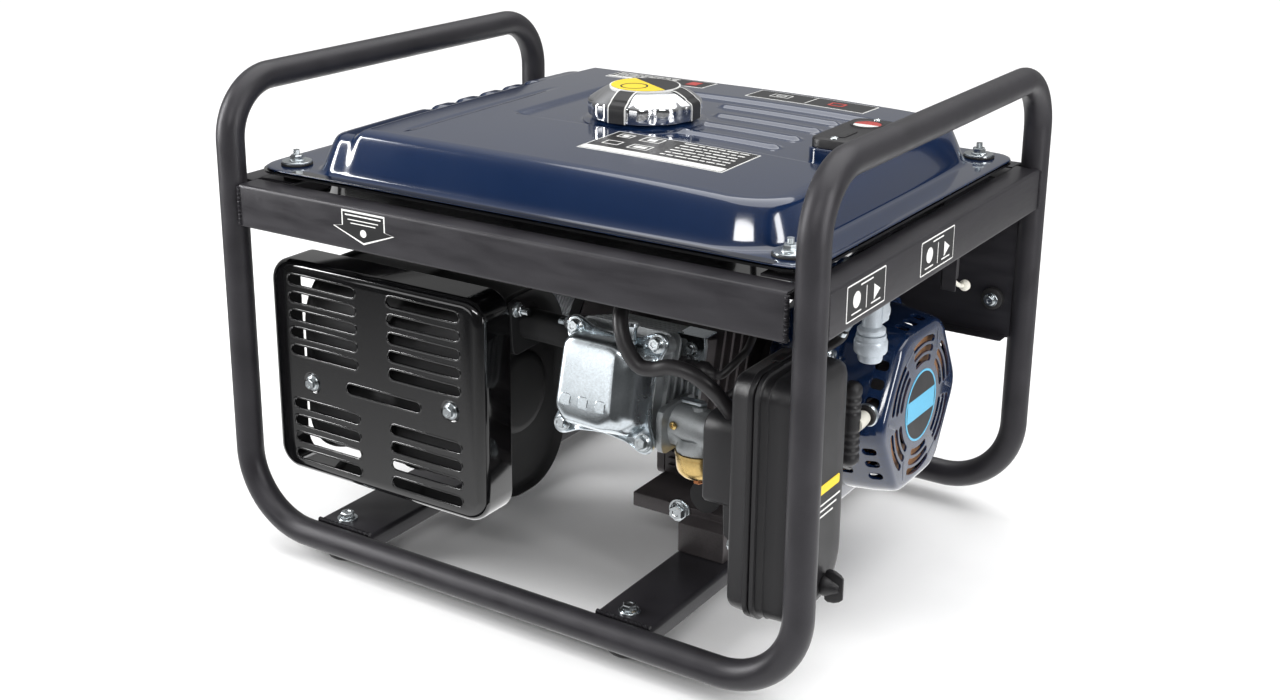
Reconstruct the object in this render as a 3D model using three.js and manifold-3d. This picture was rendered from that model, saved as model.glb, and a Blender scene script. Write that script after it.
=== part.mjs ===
// Portable generator: an open tube frame carrying a fuel tank, a single-cylinder engine and an alternator.
// Millimetres, +Z up, +X towards the recoil starter, -Y the valve cover side, origin under the middle.
import * as THREE from "three";
import { mergeVertices } from "three/addons/utils/BufferGeometryUtils.js";
import Module from "manifold-3d";

const wasm = await Module();
wasm.setup();

// ---------- driving dimensions ----------
const LENGTH = 605; // overall, along X
const WIDTH = 484; // overall, along Y
const HEIGHT = 455; // ground to the top of the handles
const TUBE_R = 12.7; // one inch frame tube
const GAP = 0.3; // between neighbouring pieces
const FOOT_DROP = 12; // rubber foot below the bottom tubes
const LOWER_BEND_R = 70;
const UPPER_BEND_R = 80;
const SHEET = 2; // pressed steel
const RAIL_Z = [315, 354.5];
const RAIL_OFFSET = 9; // rail face outside the tube centre line
const RAIL_FLANGE = 24;
const RAIL_LIP = 8;
const RAIL_TAB = { reach: 40, half: 20 }; // carries a tank bolt
const LEVER_BRACKET = { x: 268, y: [68, 106], bottom: 273, foot: 24, wing: 14 };
const CHANNEL_TOP = 35;
const CHANNEL_DEPTH = 15;
const CHANNEL_WALL = 2.5;
const CHANNEL_LEFT_X = [-218, -152];
const CHANNEL_RIGHT_X = [95, 152];
const FOOT_Y = 203;
const FOOT_LEFT_X = -195;
const FOOT_RIGHT_X = 120;
const TANK_FLANGE = { x: 279, y: 216, z: 364, thickness: 2 };
const TANK_BOLT = { x: 250, y: 188 };
const TANK_WALL = 2.5;
const TANK_BODY = { x: [-228, 252], y: [-205, 205], corners: [60, 30, 30, 60] };
const TANK_PAN = { x: [-224, 236], y: [-203, 203], floor: 318, corner: 45 };
const TANK_TOP = 44; // flat top above the flange
const CAP = { x: 4, y: -3, r: 52, top: 438 };
const GAUGE = { x: 205, y: 15, seat: 410 };
const CRANK = { x: 84, y: 61, z: 164 }; // crank axis meets the cylinder's middle plane
const CYLINDER_TILT = 14; // degrees above the horizontal, towards -Y
const BORE_R = 34;
const THROW = 27;
const CAM = { y: -28, z: -50, gearR: 38 };
const STATOR_R = 88;
const FILTER = { back: 214, seam: 236, front: 272, y: [-213, -112], z: [62, 272] };
const GUARD = { x: [-272, -26], y: [-210, -170], z: [74, 281] };
const MUFFLER = { x: [-236, -34], y: [-198, -84], z: [84, 270], cornerR: 50 };
const PANEL = { x: [-40, 277.5], y: 220, z: [184, 340] };

const TUBE_X = LENGTH / 2 - TUBE_R;
const TUBE_Y = WIDTH / 2 - TUBE_R;
const SILL_Z = FOOT_DROP + TUBE_R;
const HANDLE_Z = HEIGHT - TUBE_R;
const JOINT_Z = (RAIL_Z[0] + RAIL_Z[1]) / 2; // the loops and handles meet behind the rails

// ---------- materials ----------
const paint = (color, roughness, metalness) =>
  new THREE.MeshStandardMaterial({ color, roughness, metalness });
const MATERIAL = {
  frame: paint(0x2b2a2c, 0.6, 0.3),
  sheet: paint(0x232223, 0.55, 0.3),
  navy: paint(0x182a4e, 0.22, 0.1),
  glossBlack: paint(0x08080a, 0.15, 0.2),
  heatBlack: paint(0x141415, 0.85, 0.2),
  zinc: paint(0xb9c2c8, 0.3, 0.9),
  chrome: paint(0xd5d8dc, 0.12, 1),
  castGrey: paint(0x3f3a3a, 0.65, 0.4),
  castLight: paint(0xb4bbc0, 0.5, 0.5),
  brass: paint(0xc9a154, 0.3, 0.9),
  copper: paint(0xb06a3c, 0.45, 0.8),
  plastic: paint(0x1b1a1b, 0.6, 0),
  rubber: paint(0x161616, 0.9, 0),
  cream: paint(0xd8d6cc, 0.45, 0),
  foam: paint(0x4a4a46, 1, 0),
  steel: paint(0x8d9196, 0.4, 0.9),
  red: paint(0xb02a20, 0.35, 0),
  rope: paint(0xe6e4dc, 0.9, 0),
};

// ---------- shapes ----------
const radians = THREE.MathUtils.degToRad;

function arc(a, b, r, from, to, steps) {
  return Array.from({ length: steps + 1 }, (_, i) => {
    const t = radians(from + ((to - from) * i) / steps);
    return new THREE.Vector2(a + r * Math.cos(t), b + r * Math.sin(t));
  });
}

function polygon(r, sides, a = 0, b = 0, turn = 0) {
  return new THREE.Shape(arc(a, b, r, turn, turn + 360, sides).slice(0, sides));
}

// Corner radii run anticlockwise from the corner at the two high limits.
function roundedRect([a0, a1], [b0, b1], radius, steps = 3) {
  const r = Array.isArray(radius) ? radius : [radius, radius, radius, radius];
  return new THREE.Shape([
    ...arc(a1 - r[0], b1 - r[0], r[0], 0, 90, steps),
    ...arc(a0 + r[1], b1 - r[1], r[1], 90, 180, steps),
    ...arc(a0 + r[2], b0 + r[2], r[2], 180, 270, steps),
    ...arc(a1 - r[3], b0 + r[3], r[3], 270, 360, steps),
  ]);
}

function slotPoints(a, b, length, height, angle = 0) {
  const half = (length - height) / 2;
  const ends = [...arc(half, 0, height / 2, -90, 90, 2), ...arc(-half, 0, height / 2, 90, 270, 2)];
  return ends.map((p) => p.rotateAround(new THREE.Vector2(), radians(angle)).add(new THREE.Vector2(a, b)));
}

// Turns geometry made along +Z so that it runs along another axis: x takes (y, z), y takes (x, z).
const EXTRUDE_BASIS = {
  x: new THREE.Matrix4().makeBasis(
    new THREE.Vector3(0, 1, 0), new THREE.Vector3(0, 0, 1), new THREE.Vector3(1, 0, 0)),
  y: new THREE.Matrix4().makeBasis(
    new THREE.Vector3(1, 0, 0), new THREE.Vector3(0, 0, 1), new THREE.Vector3(0, -1, 0)),
  z: new THREE.Matrix4(),
};

function prismGeometry(axis, shape, [from, to]) {
  const geometry = new THREE.ExtrudeGeometry(shape, { depth: to - from, bevelEnabled: false });
  geometry.applyMatrix4(EXTRUDE_BASIS[axis]);
  const start = { x: [from, 0, 0], y: [0, to, 0], z: [0, 0, from] }[axis];
  return geometry.translate(...start);
}

// An outline carried through levels {at, sa, sb, a, b}: scaled by sa and sb and shifted by a and b at each.
function loftGeometry(axis, shape, levels) {
  const steps = levels.length - 1;
  const geometry = new THREE.ExtrudeGeometry(shape, { depth: steps, steps, bevelEnabled: false });
  const p = geometry.attributes.position;
  for (let i = 0; i < p.count; i++) {
    const { at, sa = 1, sb = sa, a = 0, b = 0 } = levels[Math.round(p.getZ(i))];
    p.setXYZ(i, p.getX(i) * sa + a, p.getY(i) * sb + b, axis === "y" ? -at : at);
  }
  return geometry.applyMatrix4(EXTRUDE_BASIS[axis]);
}

function latheGeometry(axis, profile, sides) {
  const points = profile.map(([r, along]) => new THREE.Vector2(r, along));
  const geometry = new THREE.LatheGeometry(points, sides);
  if (axis === "x") geometry.rotateZ(-Math.PI / 2);
  if (axis === "z") geometry.rotateX(Math.PI / 2);
  return geometry;
}

// A curve known only at its stations, so that an extrusion along it steps at those and nowhere else.
class StationPath extends THREE.Curve {
  constructor(stations) {
    super();
    this.stations = stations;
  }
  station(t) {
    return this.stations[Math.round(t * (this.stations.length - 1))];
  }
  getPointAt(t) {
    return this.station(t).point.clone();
  }
  getTangentAt(t) {
    return this.station(t).tangent.clone();
  }
}

function bentPath(corners, radius, bendSteps = 5) {
  const points = corners.map((c) => new THREE.Vector3(...c));
  const way = points.slice(1).map((p, i) => p.clone().sub(points[i]).normalize());
  const stations = [{ point: points[0], tangent: way[0] }];
  for (let i = 1; i < points.length - 1; i++) {
    const bend = way[i - 1].angleTo(way[i]);
    const pivot = way[i - 1].clone().cross(way[i]).normalize();
    const start = points[i].clone().addScaledVector(way[i - 1], -radius * Math.tan(bend / 2));
    const centre = start.clone().addScaledVector(pivot.clone().cross(way[i - 1]), radius);
    for (let k = 0; k <= bendSteps; k++) {
      const turn = (bend * k) / bendSteps;
      const point = start.clone().sub(centre).applyAxisAngle(pivot, turn).add(centre);
      stations.push({ point, tangent: way[i - 1].clone().applyAxisAngle(pivot, turn) });
    }
  }
  stations.push({ point: points.at(-1), tangent: way.at(-1) });
  return new StationPath(stations);
}

// ---------- solids ----------
function solid(geometry) {
  const bare = new THREE.BufferGeometry();
  bare.setAttribute("position", geometry.getAttribute("position"));
  if (geometry.index) bare.setIndex(geometry.index);
  const merged = mergeVertices(bare, 1e-3);
  const triangles = [];
  const index = merged.index.array;
  for (let i = 0; i < index.length; i += 3) {
    const [a, b, c] = [index[i], index[i + 1], index[i + 2]];
    if (a !== b && b !== c && a !== c) triangles.push([a, b, c]);
  }
  const build = (list) =>
    new wasm.Manifold(
      new wasm.Mesh({
        numProp: 3,
        vertProperties: merged.attributes.position.array,
        triVerts: new Uint32Array(list.flat()),
      }),
    );
  const made = build(triangles);
  return made.volume() < 0 ? build(triangles.map(([a, b, c]) => [a, c, b])) : made;
}

const join = (...solids) => solids.reduce((whole, piece) => whole.add(piece));
const cut = (whole, ...tools) => tools.reduce((rest, tool) => rest.subtract(tool), whole);
const prism = (axis, shape, span) => solid(prismGeometry(axis, shape, span));
const loft = (axis, shape, levels) => solid(loftGeometry(axis, shape, levels));
const lathe = (axis, profile, sides = 16) => solid(latheGeometry(axis, profile, sides));

function block(...spans) {
  const size = spans.map(([from, to]) => to - from);
  const middle = spans.map(([from, to]) => (from + to) / 2);
  return solid(new THREE.BoxGeometry(...size).translate(...middle));
}

function rod(axis, r, span, sides = 14, a = 0, b = 0) {
  return prism(axis, polygon(r, sides, a, b), span);
}

function tube(path, r, sides = 12) {
  const steps = path.stations.length - 1;
  return solid(new THREE.ExtrudeGeometry(polygon(r, sides), { steps, extrudePath: path, curveSegments: 1 }));
}

function piece(name, material, shape) {
  const { numProp, vertProperties, triVerts } = shape.getMesh();
  const position = new Float32Array((vertProperties.length / numProp) * 3);
  for (let i = 0; i < position.length / 3; i++) {
    position.set(vertProperties.subarray(i * numProp, i * numProp + 3), i * 3);
  }
  const geometry = new THREE.BufferGeometry();
  geometry.setAttribute("position", new THREE.BufferAttribute(position, 3));
  geometry.setIndex(new THREE.BufferAttribute(triVerts, 1));
  geometry.computeVertexNormals();
  const mesh = new THREE.Mesh(geometry, material);
  mesh.name = name;
  return mesh;
}

function group(position, ...children) {
  const made = new THREE.Group();
  made.position.set(...position);
  made.add(...children);
  return made;
}

// ---------- frame ----------
function loop(side) {
  const y = side * TUBE_Y;
  const top = JOINT_Z - GAP / 2;
  const corners = [[-TUBE_X, y, top], [-TUBE_X, y, SILL_Z], [TUBE_X, y, SILL_Z], [TUBE_X, y, top]];
  return tube(bentPath(corners, LOWER_BEND_R), TUBE_R);
}

function handle(side) {
  const x = side * TUBE_X;
  const foot = JOINT_Z + GAP / 2;
  const corners = [[x, -TUBE_Y, foot], [x, -TUBE_Y, HANDLE_Z], [x, TUBE_Y, HANDLE_Z], [x, TUBE_Y, foot]];
  return tube(bentPath(corners, UPPER_BEND_R), TUBE_R);
}

function withoutCornerTubes(rail) {
  const copes = [-1, 1].flatMap((sx) =>
    [-1, 1].map((sy) => rod("z", TUBE_R + GAP, [RAIL_Z[0] - 1, RAIL_Z[1] + 1], 16, sx * TUBE_X, sy * TUBE_Y)),
  );
  return cut(rail, ...copes);
}

function longRail(side) {
  const face = side * (TUBE_Y + RAIL_OFFSET);
  const band = (inner) => [face, face - side * inner].sort((a, b) => a - b);
  const reach = TUBE_X + RAIL_OFFSET - RAIL_FLANGE - 1;
  const web = block([-TUBE_X, TUBE_X], band(SHEET), RAIL_Z);
  const flange = block([-reach, reach], band(RAIL_FLANGE), [RAIL_Z[1] - SHEET, RAIL_Z[1]]);
  const lip = block([-reach, reach], band(RAIL_LIP), [RAIL_Z[0], RAIL_Z[0] + SHEET]);
  return withoutCornerTubes(join(web, flange, lip));
}

function endRail(side) {
  const face = side * (TUBE_X + RAIL_OFFSET);
  const band = (inner) => [face, face - side * inner].sort((a, b) => a - b);
  const reach = TUBE_Y - 1.5;
  const top = [RAIL_Z[1] - SHEET, RAIL_Z[1]];
  const web = block(band(SHEET), [-TUBE_Y, TUBE_Y], RAIL_Z);
  const flange = block(band(RAIL_FLANGE), [-reach, reach], top);
  const lip = block(band(RAIL_LIP), [-reach, reach], [RAIL_Z[0], RAIL_Z[0] + SHEET]);
  const tabs = [-1, 1].map((end) => {
    const tab = band(RAIL_FLANGE + RAIL_TAB.reach);
    return block(tab, [end * TANK_BOLT.y - RAIL_TAB.half, end * TANK_BOLT.y + RAIL_TAB.half], top);
  });
  return withoutCornerTubes(join(web, flange, lip, ...tabs));
}

// A hanging bracket for the choke lever, under the right rail.
function rightRail() {
  const { x, y, bottom, foot: footDepth, wing } = LEVER_BRACKET;
  const height = [bottom, RAIL_Z[0] + 1];
  const bracket = join(
    block([x, x + SHEET], y, height),
    block([x, x + footDepth], y, [RAIL_Z[0], RAIL_Z[0] + SHEET]),
    block([x, x + wing], [y[0], y[0] + SHEET], height),
  );
  return join(endRail(1), bracket);
}

function baseChannel([x0, x1]) {
  const inside = [CHANNEL_TOP - CHANNEL_DEPTH - 1, CHANNEL_TOP - CHANNEL_WALL];
  const reach = TUBE_Y;
  const outer = block([x0, x1], [-reach, reach], [CHANNEL_TOP - CHANNEL_DEPTH, CHANNEL_TOP]);
  const hollow = block([x0 + CHANNEL_WALL, x1 - CHANNEL_WALL], [-reach - 1, reach + 1], inside);
  const sills = [-1, 1].map((s) => rod("x", TUBE_R + GAP, [x0 - 1, x1 + 1], 16, s * TUBE_Y, SILL_Z));
  return cut(outer, hollow, ...sills);
}

function foot() {
  const neckTop = CHANNEL_TOP - CHANNEL_WALL - GAP;
  const profile = [[0, 0], [18.5, 0], [20, 2], [19, 9], [16, 11.4], [11, 11.6], [11, neckTop], [0, neckTop]];
  return lathe("z", profile, 10);
}

function frameParts() {
  const parts = [
    piece("frame_front_loop", MATERIAL.frame, loop(-1)),
    piece("frame_rear_loop", MATERIAL.frame, loop(1)),
    piece("handle_left", MATERIAL.frame, handle(-1)),
    piece("handle_right", MATERIAL.frame, handle(1)),
    piece("upper_rail_front", MATERIAL.sheet, longRail(-1)),
    piece("upper_rail_rear", MATERIAL.sheet, longRail(1)),
    piece("upper_rail_left", MATERIAL.sheet, endRail(-1)),
    piece("upper_rail_right", MATERIAL.sheet, rightRail()),
    piece("base_channel_left", MATERIAL.sheet, baseChannel(CHANNEL_LEFT_X)),
    piece("base_channel_right", MATERIAL.sheet, baseChannel(CHANNEL_RIGHT_X)),
  ];
  for (const [end, y] of [["front", -FOOT_Y], ["rear", FOOT_Y]]) {
    for (const [side, x] of [["left", FOOT_LEFT_X], ["right", FOOT_RIGHT_X]]) {
      const mesh = piece(`foot_${end}_${side}`, MATERIAL.rubber, foot());
      mesh.position.set(x, y, 0);
      parts.push(mesh);
    }
  }
  return parts;
}

// ---------- fuel tank ----------
const NECK = { r: 44, bore: 38, top: 420 };

function tankPlate(z) {
  const plate = roundedRect([-TANK_FLANGE.x, TANK_FLANGE.x], [-TANK_FLANGE.y, TANK_FLANGE.y], 26);
  return prism("z", plate, [z, z + TANK_FLANGE.thickness]);
}

function upperBowl(inset, levels) {
  const { x, y, corners } = TANK_BODY;
  return loft("z", roundedRect([x[0] + inset, x[1] - inset], [y[0] + inset, y[1] - inset], corners), levels);
}

function tankUpperShell() {
  const { z } = TANK_FLANGE;
  const body = upperBowl(0, [
    { at: z }, { at: z + 22, sa: 0.985, sb: 0.965 }, { at: z + 38, sa: 0.965, sb: 0.92 },
    { at: z + TANK_TOP, sa: 0.93, sb: 0.87 },
  ]);
  const hollow = upperBowl(TANK_WALL, [
    { at: z - 1 }, { at: z + 20, sa: 0.985, sb: 0.965 }, { at: z + 35, sa: 0.965, sb: 0.92 },
    { at: z + TANK_TOP - 3, sa: 0.93, sb: 0.87 },
  ]);
  const neck = rod("z", NECK.r, [z + 39, NECK.top], 20, CAP.x, CAP.y);
  const filler = rod("z", NECK.bore, [z + 30, NECK.top + 1], 20, CAP.x, CAP.y);
  const gaugeBoss = rod("z", 24, [z + 39, GAUGE.seat], 14, GAUGE.x, GAUGE.y);
  const gaugeHole = rod("z", 12, [z + 30, z + 50], 12, GAUGE.x, GAUGE.y);
  const holes = boltCorners().map(([x, y]) => rod("z", 9.5, [z - 1, z + 5], 8, x, y));
  return cut(join(tankPlate(z), body, neck, gaugeBoss), hollow, filler, gaugeHole, ...holes);
}

function boltCorners() {
  return [-1, 1].flatMap((sx) => [-1, 1].map((sy) => [sx * TANK_BOLT.x, sy * TANK_BOLT.y]));
}

function tankLowerShell() {
  const top = TANK_FLANGE.z - GAP;
  const flangeZ = top - TANK_FLANGE.thickness;
  const { x: length, y: width, floor: bottom, corner } = TANK_PAN;
  const outline = (inset) =>
    roundedRect([length[0] + inset, length[1] - inset], [width[0] + inset, width[1] - inset], corner);
  const levels = (floor, roof) => [
    { at: floor, sa: 0.9, sb: 0.9 }, { at: floor + 10, sa: 0.985, sb: 0.985 }, { at: roof },
  ];
  const body = loft("z", outline(0), levels(bottom, top));
  const hollow = loft("z", outline(TANK_WALL), levels(bottom + TANK_WALL, top + 1));
  const holes = boltCorners().map(([x, y]) => rod("z", 9.5, [flangeZ - 1, top + 1], 8, x, y));
  return cut(join(tankPlate(flangeZ), body), hollow, ...holes);
}

function fuelCap() {
  const rim = 410;
  const profile = [
    [0, CAP.top], [38, CAP.top], [46, 435], [49, 430], [CAP.r, 427], [CAP.r, rim + 2], [CAP.r - 2, rim],
    [NECK.r + 1.5, rim], [NECK.r + 1.5, 424.5], [0, 424.5],
  ];
  return lathe("z", profile, 20);
}

function strainer() {
  const top = NECK.top + GAP;
  const profile = [
    [0, 370], [32, 370], [33, top], [42, top], [42, top + 1.2], [31, top + 1.2], [30, 372], [0, 372],
  ];
  return lathe("z", profile, 14);
}

function capGasket() {
  const profile = [[28, 422.2], [43, 422.2], [43, 424.2], [28, 424.2], [28, 422.2]];
  return lathe("z", profile, 14);
}

function gaugeBody() {
  const base = GAUGE.seat + GAP;
  const shell = join(
    prism("z", roundedRect([GAUGE.x - 22, GAUGE.x + 22], [GAUGE.y - 48, GAUGE.y + 48], 12), [base, base + 9]),
    rod("z", 10.5, [base - 40, base + 1], 12, GAUGE.x, GAUGE.y),
  );
  return cut(shell, rod("z", 16.5, [base + 2, base + 10], 16, GAUGE.x, GAUGE.y + 22));
}

function gaugeDial() {
  const base = GAUGE.seat + GAP;
  const plate = rod("z", 15.5, [base + 2.5, base + 4], 14, GAUGE.x, GAUGE.y + 22);
  const pointer = block([GAUGE.x - 1.5, GAUGE.x + 1.5], [GAUGE.y + 12, GAUGE.y + 34], [base + 3.9, base + 5]);
  return join(plate, pointer);
}

// The float arm swings about a pin across the foot of the gauge stem.
const FLOAT_PIVOT = { x: GAUGE.x, y: GAUGE.y, z: 364 };

function gaugeFloat() {
  const { x, y, z } = FLOAT_PIVOT;
  const arm = block([x - 72, x + 4], [y - 2, y + 2], [z - 2, z + 2]);
  const bob = rod("y", 13, [y - 20, y + 20], 14, x - 80, z - 4);
  return join(arm, bob);
}

function tankParts() {
  return [
    piece("tank_upper_shell", MATERIAL.navy, tankUpperShell()),
    piece("tank_lower_shell", MATERIAL.glossBlack, tankLowerShell()),
    group([CAP.x, CAP.y, 0],
      piece("fuel_cap", MATERIAL.chrome, fuelCap()),
      piece("cap_gasket", MATERIAL.rubber, capGasket()),
      piece("fuel_strainer", MATERIAL.steel, strainer())),
    piece("fuel_gauge_body", MATERIAL.plastic, gaugeBody()),
    piece("fuel_gauge_dial", MATERIAL.red, gaugeDial()),
    piece("fuel_gauge_float", MATERIAL.foam, gaugeFloat()),
  ];
}

// ---------- fuel valve and choke lever ----------
const VALVE = { x: 262, y: -60 };

function fuelValveParts() {
  const body = join(
    rod("z", 11, [268.3, 330], 14),
    rod("x", 7, [-25.2, 0], 12, 0, 322),
    rod("y", 8, [0, 17], 12, 0, 284),
    rod("x", 5, [-26, 0], 10, 0, 278),
  );
  const cup = lathe("z", [[0, 244], [11, 246], [14, 250], [14, 268], [0, 268]], 16);
  const lever = join(
    rod("y", 7, [17.3, 21], 12, 0, 284),
    block([-3, 3], [17.3, 21], [284, 306]),
    block([-5, 5], [17.3, 23], [302, 310]),
  );
  return group([VALVE.x, VALVE.y, 0],
    piece("fuel_valve_body", MATERIAL.castLight, body),
    piece("sediment_cup", MATERIAL.zinc, cup),
    piece("fuel_valve_lever", MATERIAL.castLight, lever));
}

const CHOKE = { x: 272, y: 84, z: 279 };

function chokeLever() {
  const shape = join(
    rod("x", 6, [-1.7, 2], 12),
    prism("x", new THREE.Shape(slotPoints(10, -6, 30, 6, -25)), [-1.7, 2]),
    solid(new THREE.SphereGeometry(5.2, 10, 6).translate(3.5, 24, -12)),
  );
  const mesh = piece("choke_lever", MATERIAL.cream, shape);
  mesh.position.set(CHOKE.x, CHOKE.y, CHOKE.z);
  return mesh;
}

// ---------- engine, about the crank axis ----------
const CASE_X = [-47, 66];
const DECK = 165; // crank axis to the head joint, along the cylinder
const COVER_SEAT = 246; // crank axis to the valve cover joint
const TILT = radians(-CYLINDER_TILT);

function tilted(shape) {
  return shape.rotate([-CYLINDER_TILT, 0, 0]);
}

function crankcase() {
  const foot = (y) => block([13, 60], y, [CHANNEL_TOP - CRANK.z + GAP, -100]);
  const outer = join(
    rod("x", 64, CASE_X, 18),
    block(CASE_X, [-75, 70], [-100, 0]),
    block(CASE_X, [-130, 86], [-107, -93]),
    foot([-149, -100]),
    foot([60, 92]),
    tilted(block([-41, 41], [-DECK, -40], [-41, 41])),
    ...[0, 1, 2, 3].map((i) => tilted(block([-48, 48], [-150 + i * 16, -146 + i * 16], [-48, 50]))),
  );
  const inside = [CASE_X[0] - 1, CASE_X[1] - 8];
  return cut(
    outer,
    rod("x", 47, inside, 18),
    rod("x", CAM.gearR + 3, inside, 18, CAM.y, CAM.z),
    rod("x", 8.3, [CASE_X[0], CASE_X[1] - 3], 12, CAM.y, CAM.z),
    rod("x", 15.3, [CASE_X[0] - 1, CASE_X[1] + 1], 16),
    tilted(rod("y", BORE_R + GAP, [-DECK - 1, -38], 16)),
  );
}

function crankshaft() {
  const webs = [[-16, -6], [6, 16]].map((span) => prism("x", roundedRect([-18, 18], [-41, 41], 8, 2), span));
  return join(
    lathe("x", [[0, -143.7], [15, -143.7], [15, -6], [0, -6]], 16),
    lathe("x", [[0, 6], [15, 6], [15, 66], [10, 68], [10, 118], [0, 118]], 16),
    rod("x", 19, [-44, -36], 20),
    rod("x", 12, [-8, 8], 14, 0, THROW),
    ...webs,
  );
}

function camshaft() {
  const lobe = (at, y, z) => rod("x", 11, [at, at + 8], 10, y, z);
  return join(
    rod("x", 8, [-46, 60], 12),
    rod("x", CAM.gearR, [-44, -36], 20),
    lobe(20, 0, 5),
    lobe(34, 4, -3),
  );
}

function piston() {
  const crown = 136;
  const body = rod("y", BORE_R - GAP / 2, [-crown, -crown + 44], 16);
  const skirt = rod("y", BORE_R - 5, [-crown + 9, -crown + 45], 12);
  const pinHole = rod("x", 8, [-BORE_R - 1, BORE_R + 1], 10, -crown + 24, 0);
  return cut(body, skirt, pinHole);
}

function cylinderHead() {
  const span = [-COVER_SEAT, -DECK - GAP];
  const fins = [0, 1, 2].map((i) => block([-46, 46], [-188 - i * 12, -184 - i * 12], [-46, 52]));
  const whole = join(block([-46, 46], span, [-44, 44]), ...fins);
  const chamber = rod("y", BORE_R, [-DECK - 14, -DECK], 20);
  const rockers = prism("y", roundedRect([-34, 34], [-34, 34], 8), [-COVER_SEAT - 1, -COVER_SEAT + 14]);
  return cut(whole, chamber, rockers);
}

function valveCover() {
  const seat = -COVER_SEAT - GAP;
  const flange = prism("y", roundedRect([-50, 50], [-51, 51], 14), [seat - 3, seat]);
  const bulge = (inset, near, far) =>
    loft("y", roundedRect([-39 + inset, 39 - inset], [-40 + inset, 42 - inset], 12 - inset), [
      { at: far, sa: 0.86, sb: 0.84 }, { at: far + 6, sa: 0.96, sb: 0.96 }, { at: near },
    ].reverse());
  return cut(join(flange, bulge(0, seat, seat - 28)), bulge(2, seat + 1, seat - 26));
}

function engineParts() {
  const cylinder = group([0, 0, 0],
    piece("piston", MATERIAL.castLight, piston()),
    piece("cylinder_head", MATERIAL.castLight, cylinderHead()),
    piece("valve_cover", MATERIAL.zinc, valveCover()));
  cylinder.rotation.x = TILT;
  const cam = piece("camshaft", MATERIAL.steel, camshaft());
  cam.position.set(0, CAM.y, CAM.z);
  return group([CRANK.x, CRANK.y, CRANK.z],
    piece("crankcase", MATERIAL.castGrey, crankcase()),
    piece("crankshaft", MATERIAL.steel, crankshaft()),
    cam,
    cylinder,
    ...alternatorParts(),
    ...starterParts());
}

// ---------- alternator, left of the crankcase on the same axis ----------
function alternatorParts() {
  const joint = -144;
  const plateX = [-56, CASE_X[0] - GAP];
  const plate = join(rod("x", 64, plateX, 18), block(plateX, [-75, 20], [-98, 0]));
  const bell = lathe("x", [[58, -55], [64, -55], [STATOR_R, -86], [STATOR_R, joint], [STATOR_R - 5, joint],
    [STATOR_R - 5, -88], [58, -60], [58, -55]], 18);
  const vents = [30, 90, 150, 210, 270, 330].map((turn) =>
    rod("z", 12, [60, 100], 6).translate([-116, 0, 0]).rotate([turn, 0, 0]));
  const adapter = cut(join(plate, bell), rod("x", 15.3, [-57, -46], 16), ...vents);
  const stator = lathe("x", [[58, -254], [STATOR_R, -254], [STATOR_R, joint - GAP], [58, joint - GAP],
    [58, -254]], 20);
  const rotor = join(rod("x", 56.5, [-250, -150], 20), rod("x", 10, [-292, joint - GAP], 14));
  const capX = -254 - GAP;
  const shell = lathe("x", [[10.6, capX - 44], [60, capX - 44], [80, capX - 34], [STATOR_R, capX - 22],
    [STATOR_R, capX], [STATOR_R - 4, capX], [STATOR_R - 4, capX - 20], [58, capX - 38], [10.6, capX - 38],
    [10.6, capX - 44]], 18);
  const legs = block([capX - 40, capX - 22], [-58, 58], [CHANNEL_TOP - CRANK.z + GAP, -62]);
  const endCover = join(shell, cut(legs, rod("x", STATOR_R - 5, [capX - 50, capX], 18)));
  return [
    piece("alternator_adapter", MATERIAL.castGrey, adapter),
    piece("alternator_stator", MATERIAL.copper, stator),
    piece("alternator_rotor", MATERIAL.steel, rotor),
    piece("alternator_end_cover", MATERIAL.castLight, endCover),
  ];
}

// ---------- flywheel and recoil starter, right of the crankcase on the same axis ----------
const HOUSING_X = [CASE_X[1] + GAP, 121];
const COVER_X = [HOUSING_X[1] + GAP, 176];
const PULLEY_R = 38;
const GUIDE = { x: 160, z: 14, mouth: -84 };
const GRIP = { x: 157, y: -106, z: 17 };

function flywheel() {
  const disc = lathe("x", [[10.4, 72], [24, 72], [24, 84], [62, 84], [62, 74], [78, 74], [78, 98], [24, 98],
    [24, 110], [10.4, 110], [10.4, 72]], 16);
  const blades = Array.from({ length: 10 }, (_, i) =>
    block([97, 112], [-1.5, 1.5], [48, 82]).rotate([i * 36, 0, 0]));
  return join(disc, ...blades);
}

function fanHousing() {
  const outline = (inset) => roundedRect([-90 + inset, 92 - inset], [-98 + inset, 94 - inset], 60 - inset);
  const outer = prism("x", outline(0), HOUSING_X);
  const hollow = prism("x", outline(3), [HOUSING_X[0] - 1, HOUSING_X[1] - 3]);
  return cut(outer, hollow, rod("x", 66, [HOUSING_X[1] - 4, HOUSING_X[1] + 1], 16));
}

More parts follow.
